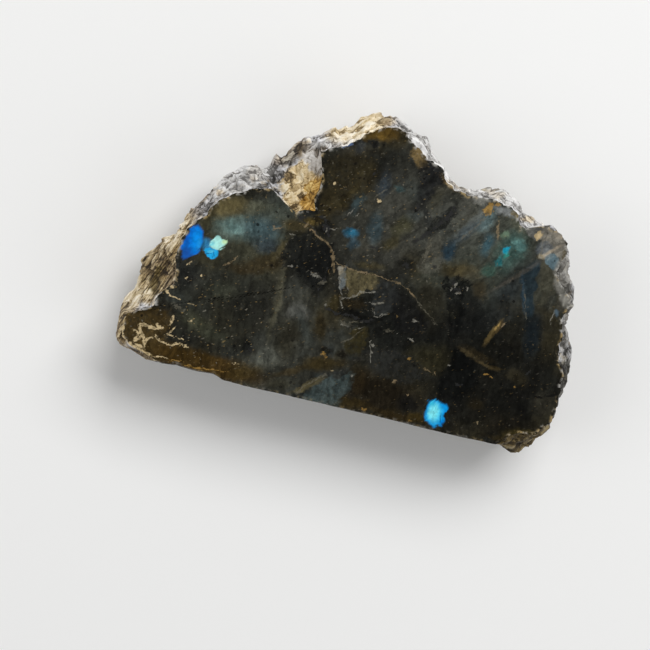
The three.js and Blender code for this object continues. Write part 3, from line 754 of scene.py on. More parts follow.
faceShapes = [
    ((66, 53, 28), 0.85, 0.4, [(-41.6, -14), (-39, -12.8), (-36.4, -12), (-33.4, -12), (-32.4, -14),
                               (-32.6, -17), (-34, -20), (-37, -21), (-40, -20.6), (-41.6, -18)]),
    ((95, 87, 62), 0.85, 0.3, [(-1.2, 4), (0.6, 4.2), (2.7, 4.2), (6, 3.9), (6.4, 2.6), (5.6, 1), (4.2, 0.9),
                               (3, 0.2), (2.2, -0.7), (1, -0.9), (0.1, 0.4), (-0.6, 2.2)]),
    ((46, 48, 47), 0.75, 0.4, [(6.5, 3.8), (8.5, 3.6), (9.7, 2.5), (9.8, -2.6), (8.5, -3.1), (7.9, -3.8),
                               (6.9, -3.7), (6.3, -2.2), (5.8, 0.5)]),
    ((48, 43, 24), 0.85, 0.4, [(6.1, -6.6), (6.3, -9), (5.7, -12), (4, -12.4), (2.3, -11.4), (3.6, -9.2)]),
    ((64, 75, 74), 0.85, 0.4, [(5.3, -16.1), (5.6, -18.5), (4.6, -21), (3.6, -23.6), (-3, -23.6),
                               (-2.4, -21.8), (0.2, -19.7), (2.6, -17.8)]),
    ((38, 39, 37), 0.75, 0.5, [(7.8, -11), (11, -10.2), (15, -10.6), (19, -12.2), (21.6, -13), (18.5, -14.4),
                               (13, -15.4), (9, -14.6), (7.4, -12.8)]),
    ((80, 79, 70), 0.75, 0.35, [(14.2, 6.6), (16.3, 7), (16.8, 12), (16.4, 15.2), (14.8, 14.6), (13.9, 11)]),
    ((160, 126, 66), 0.85, 0.3, [(23.2, 21.7), (23.6, 23), (24.6, 23.9), (25, 23.2), (24.9, 22.2),
                                 (24, 21)]),
    ((112, 94, 60), 0.85, 0.5, [(6.6, 31.3), (7.4, 31.4), (9.6, 29.4), (9.7, 27.6), (8.3, 27), (7.2, 28.2),
                                (6.6, 29.6)]),
    ((23, 23, 23), 0.75, 0.5, [(9.9, 3), (12.5, 2), (15, 0.1), (17, -1.6), (18.6, -3.4), (16, -5.6),
                               (12, -5.5), (10.2, -2.8)]),
    ((46, 41, 27), 0.8, 0.3, [(-8.5, 14.6), (-4.8, 14.4), (-2.6, 18.4), (0.6, 23), (0.6, 26), (-4, 27.2),
                              (-9.4, 24.5), (-9.4, 19)]),
    ((22, 22, 21), 0.8, 0.4, [(-8.4, 6.8), (-5.6, 7.4), (-4.6, 5.8), (-4, 3), (-4.4, 0), (-5.4, -1.8),
                              (-8, -1), (-10.2, 1.6), (-10.4, 5)]),
    ((23, 24, 23), 0.85, 0.2, [(-9.6, 10.4), (-12, 8.6), (-14.4, 4.6), (-13.4, 1.6), (-10.6, 2.2), (-8, 0.2),
                               (-6, -1.6), (-4.6, -1), (-3.9, 2.2), (-4.2, 5), (-5.2, 7.4), (-7.4, 8.8)]),
    ((13, 14, 13), 0.85, 0.25, [(24.4, -6.8), (27.6, -8), (30, -9.6), (30.6, -12), (29.4, -15), (28, -16.6),
                                (26, -16.8), (24.6, -17.4), (23, -16.6), (22.9, -13.4), (24.2, -10)]),
    ((17, 18, 17), 0.9, 0.3, [(18.2, 5.8), (19, 7.2), (20.6, 6), (22.2, 8), (24.4, 7), (23.4, 5), (24, 3.4),
                              (22, 3.8), (20.8, 2.6), (20, 4.6)]),
    ((17, 18, 17), 0.85, 0.4, [(20.8, 2.4), (22.6, 3.4), (25, 1.4), (23.6, -0.6), (25, -3), (23.2, -5.6),
                               (22.6, -2), (21.4, 0)]),
    ((20, 20, 19), 0.8, 0.2, [(-8.4, 13.2), (-6.8, 13), (-5.4, 11.8), (-5.6, 10.4), (-7.4, 10.2),
                              (-9.4, 11.2)]),
    ((21, 22, 21), 0.8, 0.25, [(13.6, 17.2), (15.4, 18.6), (16.6, 20.8), (18, 21.4), (17.8, 19),
                               (16.4, 17.4), (14.8, 15.6), (13, 14.4)]),
    ((30, 31, 31), 0.8, 0.4, [(9.8, 29.6), (12.6, 28.6), (13.4, 26.6), (12.2, 24), (11.6, 20.4), (10.2, 20),
                              (9.9, 24)]),
]

# The flashes of painted labradorescent sheen: for each the outline, its own colour and the clouds inside it.
paintedSheenFlashes = [
    ([(-31.4, 6.3), (-30.9, 5.9), (-30.2, 5), (-29.9, 3.6), (-30, 2), (-30.1, 1), (-30.6, 0.2),
      (-31.5, -0.4), (-32.2, -0.9), (-32.7, -1.3), (-33.2, -0.9), (-33.6, 0.3), (-33.7, 1.7), (-33.4, 2.8),
      (-32.9, 4.2), (-32.8, 5), (-32, 5.9)], (8, 112, 212),
     [(-31.2, 3.2, 0.9, 2.4, 0, (8, 146, 240), 0.9, 1), (-32.6, 0, 1.2, 1.4, 0, (28, 78, 158), 0.85, 1),
      (-33.2, 3, 0.5, 1.6, 15, (14, 84, 180), 0.7, 1), (-31.8, 5.4, 0.6, 0.7, 0, (10, 128, 232), 0.6, 1),
      (-30.4, 2.4, 0.6, 1.4, 0, (38, 160, 232), 0.6, 0.9)]),
    ([(-27.3, 4.9), (-26.3, 4.5), (-25.1, 4.4), (-24.9, 3.9), (-25.6, 2.8), (-26.3, 2.1), (-28, 2.3),
      (-28.6, 2.9), (-28, 4)], (178, 240, 232),
     [(-25.4, 4, 0.7, 0.8, 0, (206, 236, 168), 0.8, 0.9),
      (-28, 2.9, 0.7, 0.5, 30, (96, 206, 226), 0.7, 0.9)]),
    ([(-29, 2), (-27.8, 2.1), (-26.5, 1.9), (-26.3, 0.9), (-26.8, 0.3), (-27.6, 0.2), (-28.1, 0.1),
      (-28.8, 0.5), (-29.2, 1.2)], (36, 168, 230),
     [(-27.8, 1.5, 0.7, 0.3, 20, (104, 214, 244), 0.6, 0.9),
      (-28.2, 0.9, 0.9, 0.1, 30, (12, 74, 130), 0.8, 0.6),
      (-27.2, 1, 0.1, 0.7, 10, (12, 80, 140), 0.7, 0.6)]),
    ([(22.9, -17.6), (21.9, -18.2), (21.7, -19.8), (21.6, -21), (22.2, -22.3), (23.2, -22.9), (24.3, -23.3),
      (24.8, -22.6), (25.7, -22.6), (26.3, -21.7), (25.7, -20.6), (25.8, -19.9), (26.2, -19), (25.7, -18.2),
      (24.2, -18)], (6, 152, 230),
     [(23.6, -20.3, 1.5, 2.2, 12, (88, 224, 248), 0.95, 1),
      (23.4, -20.3, 1.1, 1.7, 12, (136, 242, 252), 0.85, 1),
      (22.6, -18.6, 0.6, 0.6, 0, (60, 214, 246), 0.7, 0.9),
      (25.8, -22, 0.5, 0.6, 0, (0, 118, 208), 0.8, 0.9),
      (25.2, -21.3, 0.1, 0.9, 12, (10, 70, 110), 0.85, 0.6),
      (23.5, -20, 0.05, 2, 4, (60, 160, 170), 0.6, 0.6)]),
]

# Veins, cracks and painted glints: for each colour, lines through points with their half widths, and
# short strokes.
veinsAndGlints = [
    ((12, 12, 11), 0.9, [
        ([(17.6, 21), (16.4, 18.6), (14.6, 16.2), (13, 14.2), (11, 12.2)], 0.4),
        ([(-12.6, 12.6), (-11.2, 11.4), (-9.4, 10.8), (-7.6, 9.2)], 0.2),
        ([(-8.6, 13.4), (-7, 12.8), (-6.2, 11.2), (-5.6, 9.6)], 0.3),
        ([(-3, -4.4), (-0.6, -5), (2, -4.6), (4.4, -5.4), (7, -4.8)], 0.3),
        ([(-4.6, 3.6), (-4.4, 1), (-5.2, -1), (-4.8, -2.6)], 0.2)],
     [(20.8, 6.4, 0.9, 0.8, 30), (22, 5.2, 0.8, 0.6, 0), (-11.6, 12.4, 0.6, 0.4, 30),
      (-6.8, 11.4, 0.6, 0.9, 0), (10.2, 19.4, 0.4, 1.4, 20), (0.4, 24.4, 0.3, 1, -30),
      (40.4, -8, 0.8, 0.3, 40), (16.4, 8.6, 0.5, 0.4, 0), (-15.8, -16, 0.4, 0.6, 0), (27, -13.6, 1, 0.3, 10),
      (3.4, 9.6, 1, 0.2, 5), (11, 7.6, 1, 0.5, 0)]),
    ((92, 88, 74), 0.6, [
        ([(35.2, 8.4), (36, 5.8), (36.5, 4), (37, 2.5)], 0.1),
        ([(36.1, 20.6), (36.5, 17.8), (36.7, 15.4)], 0.14),
        ([(5.9, -6.4), (4.4, -8.2), (3, -9.6), (1.6, -10.4)], 0.14),
        ([(0.4, -17.4), (-1.6, -19.2), (-3.6, -21), (-4.6, -22.8)], 0.2),
        ([(20.4, 15.6), (22, 17.6), (24, 20.4)], 0.22),
        ([(14.3, 1.5), (15.2, 0.6), (16.1, -0.2), (17.3, -0.8), (18.2, -1.4), (19, -2.2), (19.8, -3)],
         0.11),
        ([(1, 18.4), (1.8, 20), (3.4, 21.6)], 0.14)],
     [(1.6, -6.6, 1.6, 0.3, -8), (3.6, -5.8, 1.2, 0.25, 15), (-1.4, 3.2, 0.5, 0.9, 10),
      (7.6, -1, 1.1, 0.25, 25), (-31.6, -11, 1.6, 0.4, -24), (14.2, 11.6, 0.4, 2.4, -8),
      (-4.6, 0.4, 0.8, 0.3, 30), (10.6, -6, 1.2, 0.2, 10)]),
    ((136, 117, 86), 0.65, [
        ([(-9.7, 10.4), (-8.5, 9.7), (-7.4, 9), (-6.2, 8.6), (-5.2, 8), (-4.6, 7.4), (-4.2, 6.4),
          (-3.8, 5.3), (-3.4, 4.2), (-3.1, 2.8)], 0.2),
        ([(-3.9, 5.1), (-3, 4.8), (-1.9, 4.7), (0, 4.3), (2.7, 4.4), (6, 4.2), (8.5, 3.9), (9.8, 3.8),
          (11, 3.4), (12.2, 2.9), (13.2, 2.3), (14.3, 1.5)], 0.1),
        ([(-24.9, -0.7), (-23.5, 0.3), (-22.8, 1), (-22.5, 1.7)], 0.12)],
     [(13.2, 2.3, 1.2, 0.2, -36), (-4, 6, 0.9, 0.28, -70), (3.2, 4.3, 1.4, 0.16, 0), (-16, 9, 1, 0.15, 25),
      (-16.8, 9.1, 0.25, 0.3, 0), (20, -12.2, 1, 0.14, -20), (21.8, -12.5, 0.35, 0.12, -50),
      (33, 0.4, 0.8, 0.18, 60), (27, 18.6, 1.9, 0.24, -80), (-10.5, 11, 0.7, 0.2, 65),
      (14.1, -15.9, 0.5, 0.3, 10), (17.3, -18, 0.25, 0.2, 0)]),
    # pale grey cracks, and strokes that are painted glints in the black patches
    ((140, 137, 126), 0.6, [
        ([(-1.7, 2.2), (-1.2, 0.5), (-0.6, -1), (0.2, -3.8)], 0.12),
        ([(6, 1.2), (5, 0.6), (3, 0.3), (2.5, -0.5), (1.5, -1), (0.5, -1.6)], 0.13),
        ([(6.3, -2.3), (6.9, -3.7), (8, -3.8), (8.5, -3), (9.8, -2.7)], 0.12),
        ([(7.5, -8.7), (7.8, -10.6), (8.4, -13.2)], 0.09),
        ([(42.2, 5.5), (42.1, 4), (42, 2.5)], 0.1)],
     [(21.4, 6, 0.5, 0.25, 60), (22.3, 4.6, 0.6, 0.25, 20), (20.8, 4.8, 0.3, 0.5, 0),
      (23.8, 5.8, 0.25, 0.35, 0), (-2.2, 3.9, 0.45, 0.4, 60), (-1.6, 2.2, 0.3, 0.45, 20),
      (15.2, -2.9, 0.7, 0.2, -4), (-6.4, 1.5, 1.1, 0.35, -12), (0.6, 0.3, 0.3, 0.25, 30),
      (0, -1.6, 0.5, 0.2, 30), (1.8, -6.9, 0.9, 0.2, -10), (4.6, -6.9, 0.7, 0.16, 30),
      (6.6, -1.2, 1.8, 0.14, 12), (5.5, -16.6, 0.3, 0.25, 0), (8.2, -9.6, 0.4, 0.3, -20),
      (8.1, -11.1, 0.3, 0.2, 0), (-13, 8.4, 0.6, 0.16, 0), (36.6, 15.4, 0.6, 0.25, -20),
      (-3, -3.8, 0.2, 0.5, 0), (-11.6, 2.4, 0.6, 0.15, 20), (15.5, -6.8, 0.6, 0.15, -20),
      (12.4, -6.1, 0.2, 0.2, 0), (-6.5, 10.9, 0.15, 0.5, 10), (-5, 11.4, 1, 0.12, 15),
      (-2.6, 15.4, 0.12, 0.8, -25), (-1.2, 15.2, 0.5, 0.1, 45), (24.2, -10.2, 0.25, 0.2, 0)]),
    ((206, 184, 140), 0.9, [
        ([(-38.3, -16.1), (-37, -15.9), (-35.3, -16), (-33.6, -15.7)], 0.26),
        ([(-38.2, -15.9), (-38.1, -17), (-37.4, -18.1), (-36.6, -19.2), (-36.4, -20.4)], 0.28),
        ([(-35, -17.4), (-33.5, -18.4), (-31.5, -18.8), (-30.3, -18), (-27.7, -18.3)], 0.17),
        ([(-41.6, -15), (-41.5, -18.5), (-40, -20.2), (-37.5, -20.9), (-35, -21.7)], 0.36)],
     [(-34.4, -15.4, 0.8, 0.3, -20), (-38.2, -18.9, 1, 0.35, 45), (-36.1, -18.6, 1.1, 0.3, 35),
      (-37.4, -20.2, 1.2, 0.3, -10), (-38.6, -17.6, 0.6, 0.25, -20), (-32.2, -13.6, 0.3, 1, -12),
      (-31.7, -15.8, 0.9, 0.2, 60), (-32, -16.8, 1.1, 0.13, -4), (-28.6, -13, 0.4, 0.3, 20),
      (-31.4, -1.7, 0.5, 0.2, 45), (-31.4, -4.9, 0.3, 0.25, 0), (-28.7, -3.7, 0.16, 0.3, 0),
      (-32.3, -9.3, 0.8, 0.15, -10), (-33.7, -4.9, 1.3, 0.3, -50), (-34, -6.9, 0.9, 0.25, -30),
      (-34.3, -8.5, 1, 0.3, -25), (-29.4, -9.8, 0.6, 0.12, 0), (-34.4, -2.6, 0.25, 1, 10),
      (-29.5, -17, 0.6, 0.12, -10), (-33, -21.6, 1.5, 0.1, 8), (-18, -19.5, 0.8, 0.12, 12),
      (1.4, -16.6, 0.4, 0.2, 20), (2.4, 19, 0.4, 0.35, 0), (-6.9, 20.3, 0.2, 0.35, 0),
      (32.7, -20.3, 0.25, 0.35, 0)]),
    ((180, 140, 70), 0.5, [
        ([(-26, -22.3), (-24, -21.9), (-22, -21.6)], 0.15),
        ([(-11, 14.8), (-10.3, 17.6), (-9.8, 20.4)], 0.2)],
     [(-23.6, -22, 1.6, 0.12, 10), (-20.5, -21.6, 1.4, 0.12, 4), (-1.2, -13.5, 0.45, 0.4, 0),
      (-0.5, -14.1, 0.25, 0.3, 0), (31.9, -10.2, 0.6, 0.15, 15), (33, -10.6, 0.6, 0.1, -12),
      (-27, -22, 0.7, 0.16, 0), (16, -10.8, 0.4, 0.25, 40), (25.7, 23.6, 0.5, 0.3, 20),
      (-29.8, -21.6, 1.6, 0.1, 6), (38.2, -11.6, 0.4, 0.12, 0), (9.4, -22.8, 0.5, 0.25, 0),
      (19, -23.1, 0.4, 0.2, 0)]),
]


def polishedFace():
    material, paint = newMaterial("polishedFace")
    place = paint.vector("MULTIPLY", paint.place(), (1, 1, 0))
    drifting = paint.shaken(paint.shaken(place, 0.22, 2.4), 1.3, 1.5, 4)
    ragged = paint.shaken(place, 1.5, 0.6, 3)
    broken = paint.splintered(ragged, 1.6, 0.35)
    torn = paint.splintered(paint.shaken(place, 0.8, 1.6, 5), 1.1, 0.7)
    cornered = paint.splintered(paint.shaken(place, 1.3, 0.4, 5), 1.05, 0.35)
    colour = mineral(paint, place, 0.55)
    # clouds and shapes: the stone's own tones, and in blue and teal a painted labradorescent sheen
    for first in range(0, len(faceClouds), 24):
        rows = faceClouds[first:first + 24]
        colour = paint.group("clouds", "RGBA", lambda inner, *ends: inner.clouds(*ends, rows), colour,
                             drifting)
    patchy = paint.step(paint.noise(place, 1.1, 4, 0.65), 0.36, 0.54, 0.5, 1)
    for first in range(0, len(faceShapes), 6):
        rows = faceShapes[first:first + 6]
        colour = paint.group("shapes", "RGBA", lambda inner, *ends: inner.shapes(*ends, rows), colour,
                             torn, patchy)
    colour = paint.group("shapes", "RGBA", lambda inner, *ends: inner.shapes(*ends, 1.0, facets), colour,
                         cornered)
    colour = paint.group("bands", "RGBA", lambda inner, *ends: inner.clouds(*ends, softBands), colour,
                         cornered)
    # cleavage shows as streaks: up to the right over the upper right half, upright at the lower left
    half = paint.ellipse(place, 22, 22, 30, 22, 30)
    leaning = paint.noise(paint.mapped(drifting, angle=48, size=(7, 0.55, 1)), 1, 3, 0.6)
    upright = paint.noise(paint.mapped(drifting, angle=96, size=(8, 0.8, 1)), 1, 3, 0.6)
    streak = paint.math("MULTIPLY_ADD", half, paint.math("SUBTRACT", leaning, upright), upright)
    colour = paint.brighter(colour, paint.step(streak, 0.25, 0.75, 0.72, 1.3))
    # more grains in the lower left and the upper middle than in the dark lower right
    dusty = paint.ellipse(place, -26, -13, 16, 9, 0, 1.1)
    dusty = paint.math("MAXIMUM", dusty, paint.ellipse(place, 4, 14, 24, 16, 20, 0.55))
    colour = fineMarks(paint, place, colour, paint.math("ADD", dusty, 0.27))
    # along its edge the polish is bruised: small pale chips, tan in places
    chipped = paint.math("MULTIPLY", paint.step(paint.attribute("toEdge"), 0.75, 0.05),
                         paint.step(paint.noise(ragged, 0.9, 3), 0.47, 0.62))
    sawnSide = paint.step(paint.parts(place)["Y"], -22, -21.2, 0.3, 1)
    chipped = paint.math("MULTIPLY", chipped, paint.math("MULTIPLY", sawnSide, 0.75))
    chipLook = paint.mix(paint.step(paint.noise(place, 0.3), 0.42, 0.58), tint(178, 176, 170),
                         tint(176, 152, 104))
    colour = paint.mix(chipped, colour, chipLook)
    wear = chipped
    uneven = paint.math("SUBTRACT", paint.noise(place, 1.7, 4, 0.65), 0.5)
    for look, strength, lines, strokes in veinsAndGlints:
        mark = paint.group("veinsAndGlints", "VALUE", lambda inner, *ends: inner.strokes(*ends, lines, strokes),
                           broken, uneven)
        share = paint.step(paint.noise(ragged, 1.1, 3), 0.34, 0.56, 0.3 * strength, strength)
        mark = paint.math("MULTIPLY", mark, share)
        colour = paint.mix(mark, colour, tint(*look))
        wear = paint.math("MAXIMUM", wear, mark)
    grain = paint.step(paint.noise(ragged, 1.2, 3), 0.3, 0.7, 0.82, 1.12)
    # painted labradorescent sheen: the blue and aqua flashes, laid over the polish as fixed colour
    for outline, look, clouds in paintedSheenFlashes:
        def paintedSheen(inner, under, where, brightness):
            inside = inner.brighter(inner.clouds(tint(*look), where, clouds), brightness)
            return inner.mix(inner.step(inner.shape(where, outline), 1.1, 0.84, 0, 0.97), under, inside)
        colour = paint.group("paintedSheen", "RGBA", paintedSheen, colour, cornered, grain)
    height = paint.math("MULTIPLY_ADD", chipped, -1.0, paint.noise(place, 0.35))
    paint.finish(colour, paint.step(wear, 0, 1, 0.13, 0.5), height, 0.35, 0.06)
    return material


# The broken rock: split blocks, each with its own grey and its own run of fine steps. Each look goes from
# the painted shade in the gaps to the palest faces; each zone has a look, then the numbers of a cloud.
rockLooks = {
    # silver and white: grey broken rock with a painted highlight, white the brighter
    "greyAndHighlight": [(0, (52, 50, 48)), (0.3, (122, 120, 118)), (0.6, (196, 196, 199)), (1, (232, 231, 233))],
    "paleGreyAndHighlight": [(0, (110, 108, 105)), (0.25, (178, 176, 173)), (0.5, (206, 205, 203)), (1, (230, 229, 227))],
    "pale": [(0, (130, 110, 74)), (0.25, (212, 190, 146)), (0.55, (242, 227, 197)), (1, (250, 242, 224))],
    "cream": [(0, (84, 68, 42)), (0.28, (172, 148, 104)), (0.6, (220, 198, 154)), (1, (240, 228, 200))],
    "tan": [(0, (48, 38, 24)), (0.35, (112, 92, 60)), (0.7, (168, 144, 98)), (1, (218, 200, 160))],
    "olive": [(0, (42, 33, 13)), (0.45, (84, 68, 28)), (0.75, (106, 88, 42)), (1, (140, 122, 74))],
    "gold": [(0, (96, 66, 20)), (0.5, (188, 142, 56)), (1, (236, 206, 130))],
    "plain": [(0, (70, 68, 62)), (0.5, (110, 107, 100)), (1, (148, 145, 137))],
    "worn": [(0, (40, 37, 31)), (0.4, (80, 76, 66)), (0.75, (118, 113, 100)), (1, (158, 152, 138))],
    "dark": [(0, (24, 23, 20)), (0.5, (60, 58, 50)), (0.8, (98, 95, 84)), (1, (150, 148, 138))],
}
# the white zones along the upper rim are grey rock with a painted highlight
rockZones = [
    ("tan", -38, -1, 12, 4.4, 66, 0.95, 0.5), ("cream", -35.4, 3, 3.4, 1.5, 62, 0.8, 0.7),
    ("cream", -39.4, -9.6, 3, 2.8, 20, 0.9, 0.4), ("olive", -36.7, -6.8, 2.9, 1.6, 80, 0.95, 0.25),
    ("tan", -41.8, -17, 7, 2.6, 85, 0.95, 0.5), ("tan", -36, -22.4, 5, 1.4, -6, 0.9, 0.5),
    ("paleGreyAndHighlight", -26, 15.6, 7, 3, 32, 0.8, 0.6), ("tan", -31.4, 12, 3.2, 1.2, 62, 0.75, 0.6),
    ("tan", -28.6, 12.9, 0.9, 0.7, 0, 0.7, 0.5), ("cream", -22.6, 18.4, 1.6, 1.3, 30, 0.75, 0.5),
    ("tan", -17, 23.4, 4.2, 2, 50, 0.6, 0.7), ("cream", -18.4, 24, 1.2, 0.7, 60, 0.6, 0.7),
    ("cream", -4.6, 32, 7, 2.6, 33, 0.9, 0.5), ("tan", 0.8, 34.8, 2.4, 1.4, 0, 0.7, 0.6),
    ("paleGreyAndHighlight", -8, 28.6, 6, 0.9, 27, 0.9, 0.5), ("paleGreyAndHighlight", 10.5, 30, 11, 2.4, -38, 0.9, 0.4),
    ("paleGreyAndHighlight", 24, 25.6, 9, 2, 0, 0.9, 0.4), ("paleGreyAndHighlight", 33, 22.4, 4, 2, -30, 0.8, 0.5),
    ("tan", 17, 25.2, 2.4, 0.6, -10, 0.5, 0.7), ("cream", 25.6, 25.4, 2, 0.5, 10, 0.3, 0.7),
    ("cream", 33, 21.8, 2, 0.5, 0, 0.6, 0.6), ("dark", 46.6, 1, 7, 2.6, 100, 0.5, 0.6),
    ("dark", -16.2, 22.8, 2.4, 1.3, 55, 0.55, 0.6), ("pale", -5, 31.5, 5.4, 1.8, 33, 0.85, 0.5),
    ("pale", -35.7, 2.6, 3.6, 1.2, 62, 0.85, 0.6), ("pale", -41, -11.6, 2.6, 1.6, 70, 0.8, 0.6),
    ("paleGreyAndHighlight", -21.6, 18.6, 3.6, 1.3, 10, 0.85, 0.5),
    ("plain", 42.6, 13.2, 4.6, 2, 106, 0.9, 0.5), ("dark", 45.4, 7.2, 3.4, 1.6, 96, 0.7, 0.6),
    ("plain", 45.6, 2, 5, 1.6, 98, 0.6, 0.6),
    ("tan", -14, 25, 2, 1.4, 50, 0.6, 0.6), ("tan", -34.6, -4.6, 7, 1.7, 88, 0.85, 0.5),
]

# Zones with corners: a look, then strength, softness and outline.
rockShapes = [
    ("cream", 0.98, 0.3, [(-17, 17.2), (-16.6, 19.6), (-15.2, 21.2), (-13.8, 22.8), (-13.6, 25), (-11, 26.4),
                          (-9, 23.4), (-9, 20.5), (-9, 14), (-12.8, 11.8), (-15.4, 13.4), (-16.4, 15.6)]),
    ("greyAndHighlight", 0.75, 0.5, [(-14, 24.8), (-11, 26.4), (-9.4, 24), (-9.8, 21.4), (-11.4, 20.8),
                           (-12.6, 22.4)]),
    ("gold", 0.9, 0.4, [(-12.6, 14.4), (-12, 17), (-10.6, 20.8), (-9.2, 20.6), (-9.8, 17), (-9.4, 13.4),
                        (-11.6, 13)]),
    ("olive", 0.97, 0.3, [(37, -23.2), (38.6, -21.4), (41, -19.6), (44, -19.4), (45.6, -17.6), (50, -17),
                          (50, -22), (47, -28), (38, -28)]),
    ("dark", 0.9, 0.3, [(45.6, -4), (51, -4.6), (51, -17.6), (47.4, -18.2), (46.4, -12)]),
]


def brokenRock():
    material, paint = newMaterial("brokenRock")
    place = paint.place()
    # zones of colour wander a little near the polish and more down the wall
    lower = paint.attribute("lowerShare")
    flat = paint.vector("MULTIPLY", place, (1, 1, 0))
    wander = paint.noise(place, 0.16, 3, 0.6, colour=True)
    flat = paint.moved(flat, wander, paint.math("MULTIPLY", lower, 10.0))
    torn = paint.splintered(paint.shaken(flat, 0.8, 1.2, 4), 0.9, 0.8)
    flat = paint.moved(flat, paint.noise(place, 0.4, 4, 0.6, colour=True), 2.4)
    split = paint.mapped(paint.shaken(place, 0.8, 0.9, 3), angle=40, size=(1.5, 1, 0.75))
    random = paint.blocks(split, 0.5)
    angle = paint.math("MULTIPLY", random[0], 2 * pi)
    turning = {"Vector": place, "Axis": (0.4, 0.3, 0.87), "Angle": angle}
    turned = paint.add("ShaderNodeVectorRotate", turning).outputs[0]
    steps = paint.noise(paint.mapped(turned, size=(0.25, 2.6, 2.6)), 1, 2)
    fibres = paint.noise(paint.mapped(place, angle=67, size=(4.5, 0.35, 1.2)), 1, 3, 0.6)
    grit = paint.noise(place, 2.2, 4, 0.7)
    border = paint.cells(split, 0.5, "DISTANCE_TO_EDGE")["Distance"]
    # painted shade in the gaps between the split blocks
    gapShade = paint.step(border, 0.08, 0.01)
    gapShade = paint.math("MULTIPLY", gapShade, paint.step(paint.noise(place, 0.4), 0.42, 0.56))
    # lightness: the block's own, the steps on some blocks, grit, a painted highlight on what stands out, and
    # painted shade in the gaps
    light = paint.math("MULTIPLY_ADD", random[1], 0.62, 0.18)
    steps = paint.math("SUBTRACT", steps, 0.5)
    light = paint.math("MULTIPLY_ADD", steps, paint.step(random[2], 0.3, 0.8, 0.3, 1.6), light)
    fibrous = paint.ellipse(flat, -38.5, -5, 17, 5.5, 75, soft=0.3)
    fibres = paint.math("SUBTRACT", paint.step(fibres, 0.32, 0.68, 0.1, 0.95), light)
    light = paint.math("MULTIPLY_ADD", fibrous, fibres, light)
    light = paint.math("MULTIPLY_ADD", paint.math("SUBTRACT", grit, 0.5), 0.9, light)
    # painted highlight where the fine relief stands out, painted shade in its hollows
    light = paint.math("MULTIPLY_ADD", paint.attribute("fineRelief"), 0.8, light)
    light = paint.math("MULTIPLY_ADD", gapShade, paint.math("MULTIPLY_ADD", lower, 0.3, -0.45), light)
    light = paint.math("SUBTRACT", light, 0.5)
    light = paint.math("MULTIPLY_ADD", light, paint.step(lower, 0, 0.5, 1, 0.7), 0.5, clamp=True)
    looks = {name: paint.ramp(light, *stops) for name, stops in rockLooks.items()}
    tinge = paint.math("MULTIPLY", paint.step(paint.noise(place, 0.5, 4, 0.6), 0.54, 0.66), 0.6)
    # the base is grey rock with a painted highlight, tinged cream in patches
    colour = paint.mix(tinge, looks["greyAndHighlight"], looks["cream"])
    old = paint.math("MULTIPLY", paint.noise(place, 0.22, 4, 0.6), 0.8)
    old = paint.step(paint.math("MULTIPLY_ADD", lower, 1.2, old), 0.72, 1, 0, 0.92)
    for name, x, y, long, wide, angle, strength, soft in rockZones:
        share = paint.ellipse(flat, x, y, long, wide, angle, strength, soft)
        colour = paint.mix(share, colour, looks[name])
    for name, strength, soft, outline in rockShapes:
        share = paint.step(paint.shape(torn, outline), 1 + 0.4 * soft, 1 - 0.5 * soft, 0, strength)
        colour = paint.mix(share, colour, looks[name])
    # down the wall the rock is weathered: grey-brown with tan patches
    worn = paint.step(paint.noise(place, 0.2, 3, 0.6), 0.45, 0.65, 0, 0.55)
    worn = paint.mix(worn, looks["worn"], looks["tan"])
    colour = paint.mix(old, colour, worn)
    # the sawn edge: the dark stone itself, dulled by fine saw lines, with pale chips along its top
    sawn = paint.attribute("sawnShare")
    sawn = paint.math("ADD", sawn, paint.math("SUBTRACT", paint.noise(place, 0.5, 4, 0.65), 0.5))
    sawn = paint.step(sawn, 0.42, 0.52)
    height = paint.parts(place)["Z"]
    saw = paint.noise(paint.mapped(place, size=(14, 1, 0.35)), 1, 3, 0.6)
    wall = fineMarks(paint, place, mineral(paint, place, 1.0))
    wall = paint.mix(paint.step(saw, 0.3, 0.75, 0.06, 0.3), wall, tint(122, 119, 108))
    chips = paint.step(height, slab["thickness"] - 0.8, slab["thickness"] - 0.1, 0, 0.7)
    chips = paint.math("MULTIPLY", chips, paint.step(paint.noise(place, 0.7, 4, 0.7), 0.54, 0.62))
    wall = paint.mix(chips, wall, tint(158, 132, 82))
    colour = paint.mix(sawn, colour, wall)
    relief = paint.math("MULTIPLY_ADD", paint.math("SUBTRACT", 1.0, sawn), light,
                        paint.math("MULTIPLY", saw, 0.15))
    paint.finish(colour, paint.step(light, 0, 1, 0.62, 0.42), relief, 0.6, 0.3)
    material.node_tree.nodes["Principled BSDF"].inputs["Specular IOR Level"].default_value = 0.25
    return material


def sawnBack():
    material, paint = newMaterial("sawnBack")
    place = paint.place()
    fromPivot = paint.vector("LENGTH", paint.vector("SUBTRACT", place, (-70, -90, 0)))
    arcs = {"W": fromPivot, "Scale": 0.9, "Detail": 3}
    arcs = paint.add("ShaderNodeTexNoise", arcs, noise_dimensions="1D").outputs[0]
    colour = fineMarks(paint, place, mineral(paint, place, 1.0))
    colour = paint.mix(paint.step(arcs, 0.3, 0.7, 0.3, 0.55), colour, tint(132, 129, 118))
    paint.finish(colour, 0.72, arcs, 0.4, 0.12)
    return material


def buildStone():
    stone = stonePiece()
    for material in (polishedFace(), brokenRock(), sawnBack()):
        stone.data.materials.append(material)
    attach(stone, "root")
    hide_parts("labradorite")
    print("stone built:", len(stone.data.polygons), "faces")


# The studio: a pale floor, a dark ceiling that the polish mirrors, and wide soft lights low round it.
studio = {
    "floorHalf": 3.0,            # m
    "floorLook": (247, 247, 246),
    "keyPower": 10.5,
    "fillPower": 2.4,
    "skyBright": 0.46,
}


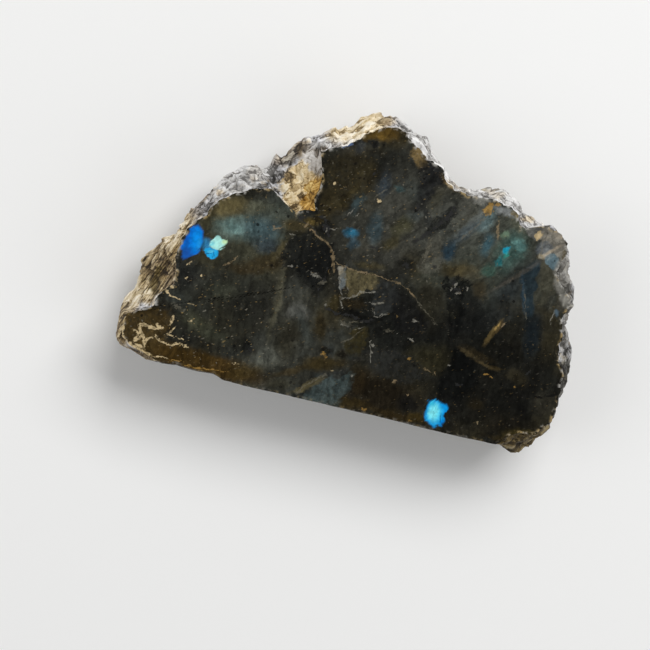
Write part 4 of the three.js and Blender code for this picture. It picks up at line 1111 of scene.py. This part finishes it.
def buildFloor():
    half = studio["floorHalf"]
    mesh = bpy.data.meshes.new("floor")
    corners = [(-half, -half, 0), (half, -half, 0), (half, half, 0), (-half, half, 0)]
    mesh.from_pydata(corners, [], [(0, 1, 2, 3)])
    material, paint = newMaterial("paleFloor")
    shader = paint.tree.nodes["Principled BSDF"]
    shader.inputs["Base Color"].default_value = tint(*studio["floorLook"])
    shader.inputs["Roughness"].default_value = 0.9
    shader.inputs["Specular IOR Level"].default_value = 0.1
    mesh.materials.append(material)
    floor = bpy.data.objects.new("floor", mesh)
    floor.location.z = -0.0002
    bpy.context.scene.collection.objects.link(floor)


def addLight(name, place, size, power, warmth=(1, 1, 1)):
    data = bpy.data.lights.new(name, "AREA")
    data.shape = "RECTANGLE"
    data.size, data.size_y = size
    data.energy = power
    data.color = warmth
    light = bpy.data.objects.new(name, data)
    light.location = place
    light.rotation_euler = (-Vector(place)).to_track_quat("-Z", "Y").to_euler()
    bpy.context.scene.collection.objects.link(light)


def buildStudio():
    buildFloor()
    addLight("keyFromPeak", (0.25, 0.75, 0.85), (0.9, 0.6), studio["keyPower"])
    addLight("fillLeft", (-0.9, -0.1, 0.7), (0.8, 0.8), studio["fillPower"])
    addLight("fillRight", (0.9, -0.3, 0.7), (0.8, 0.8), studio["fillPower"] * 0.7)
    world = bpy.data.worlds.new("studioWorld")
    world.use_nodes = True
    tree = world.node_tree
    direction = tree.nodes.new("ShaderNodeTexCoord").outputs["Generated"]
    split = tree.nodes.new("ShaderNodeSeparateXYZ")
    tree.links.new(direction, split.inputs[0])
    height = tree.nodes.new("ShaderNodeMapRange")
    height.interpolation_type = "SMOOTHSTEP"
    dimming = {"From Min": 0.6, "From Max": 0.88, "To Min": studio["skyBright"], "To Max": 0.03}
    for name, value in dimming.items():
        height.inputs[name].default_value = value
    tree.links.new(split.outputs["Z"], height.inputs["Value"])
    tree.links.new(height.outputs[0], tree.nodes["Background"].inputs["Strength"])
    tree.nodes["Background"].inputs["Color"].default_value = (1, 1, 1, 1)
    bpy.context.scene.world = world
    print("studio built")


placeCamera(camera, slab["thickness"])
buildStone()
buildStudio()
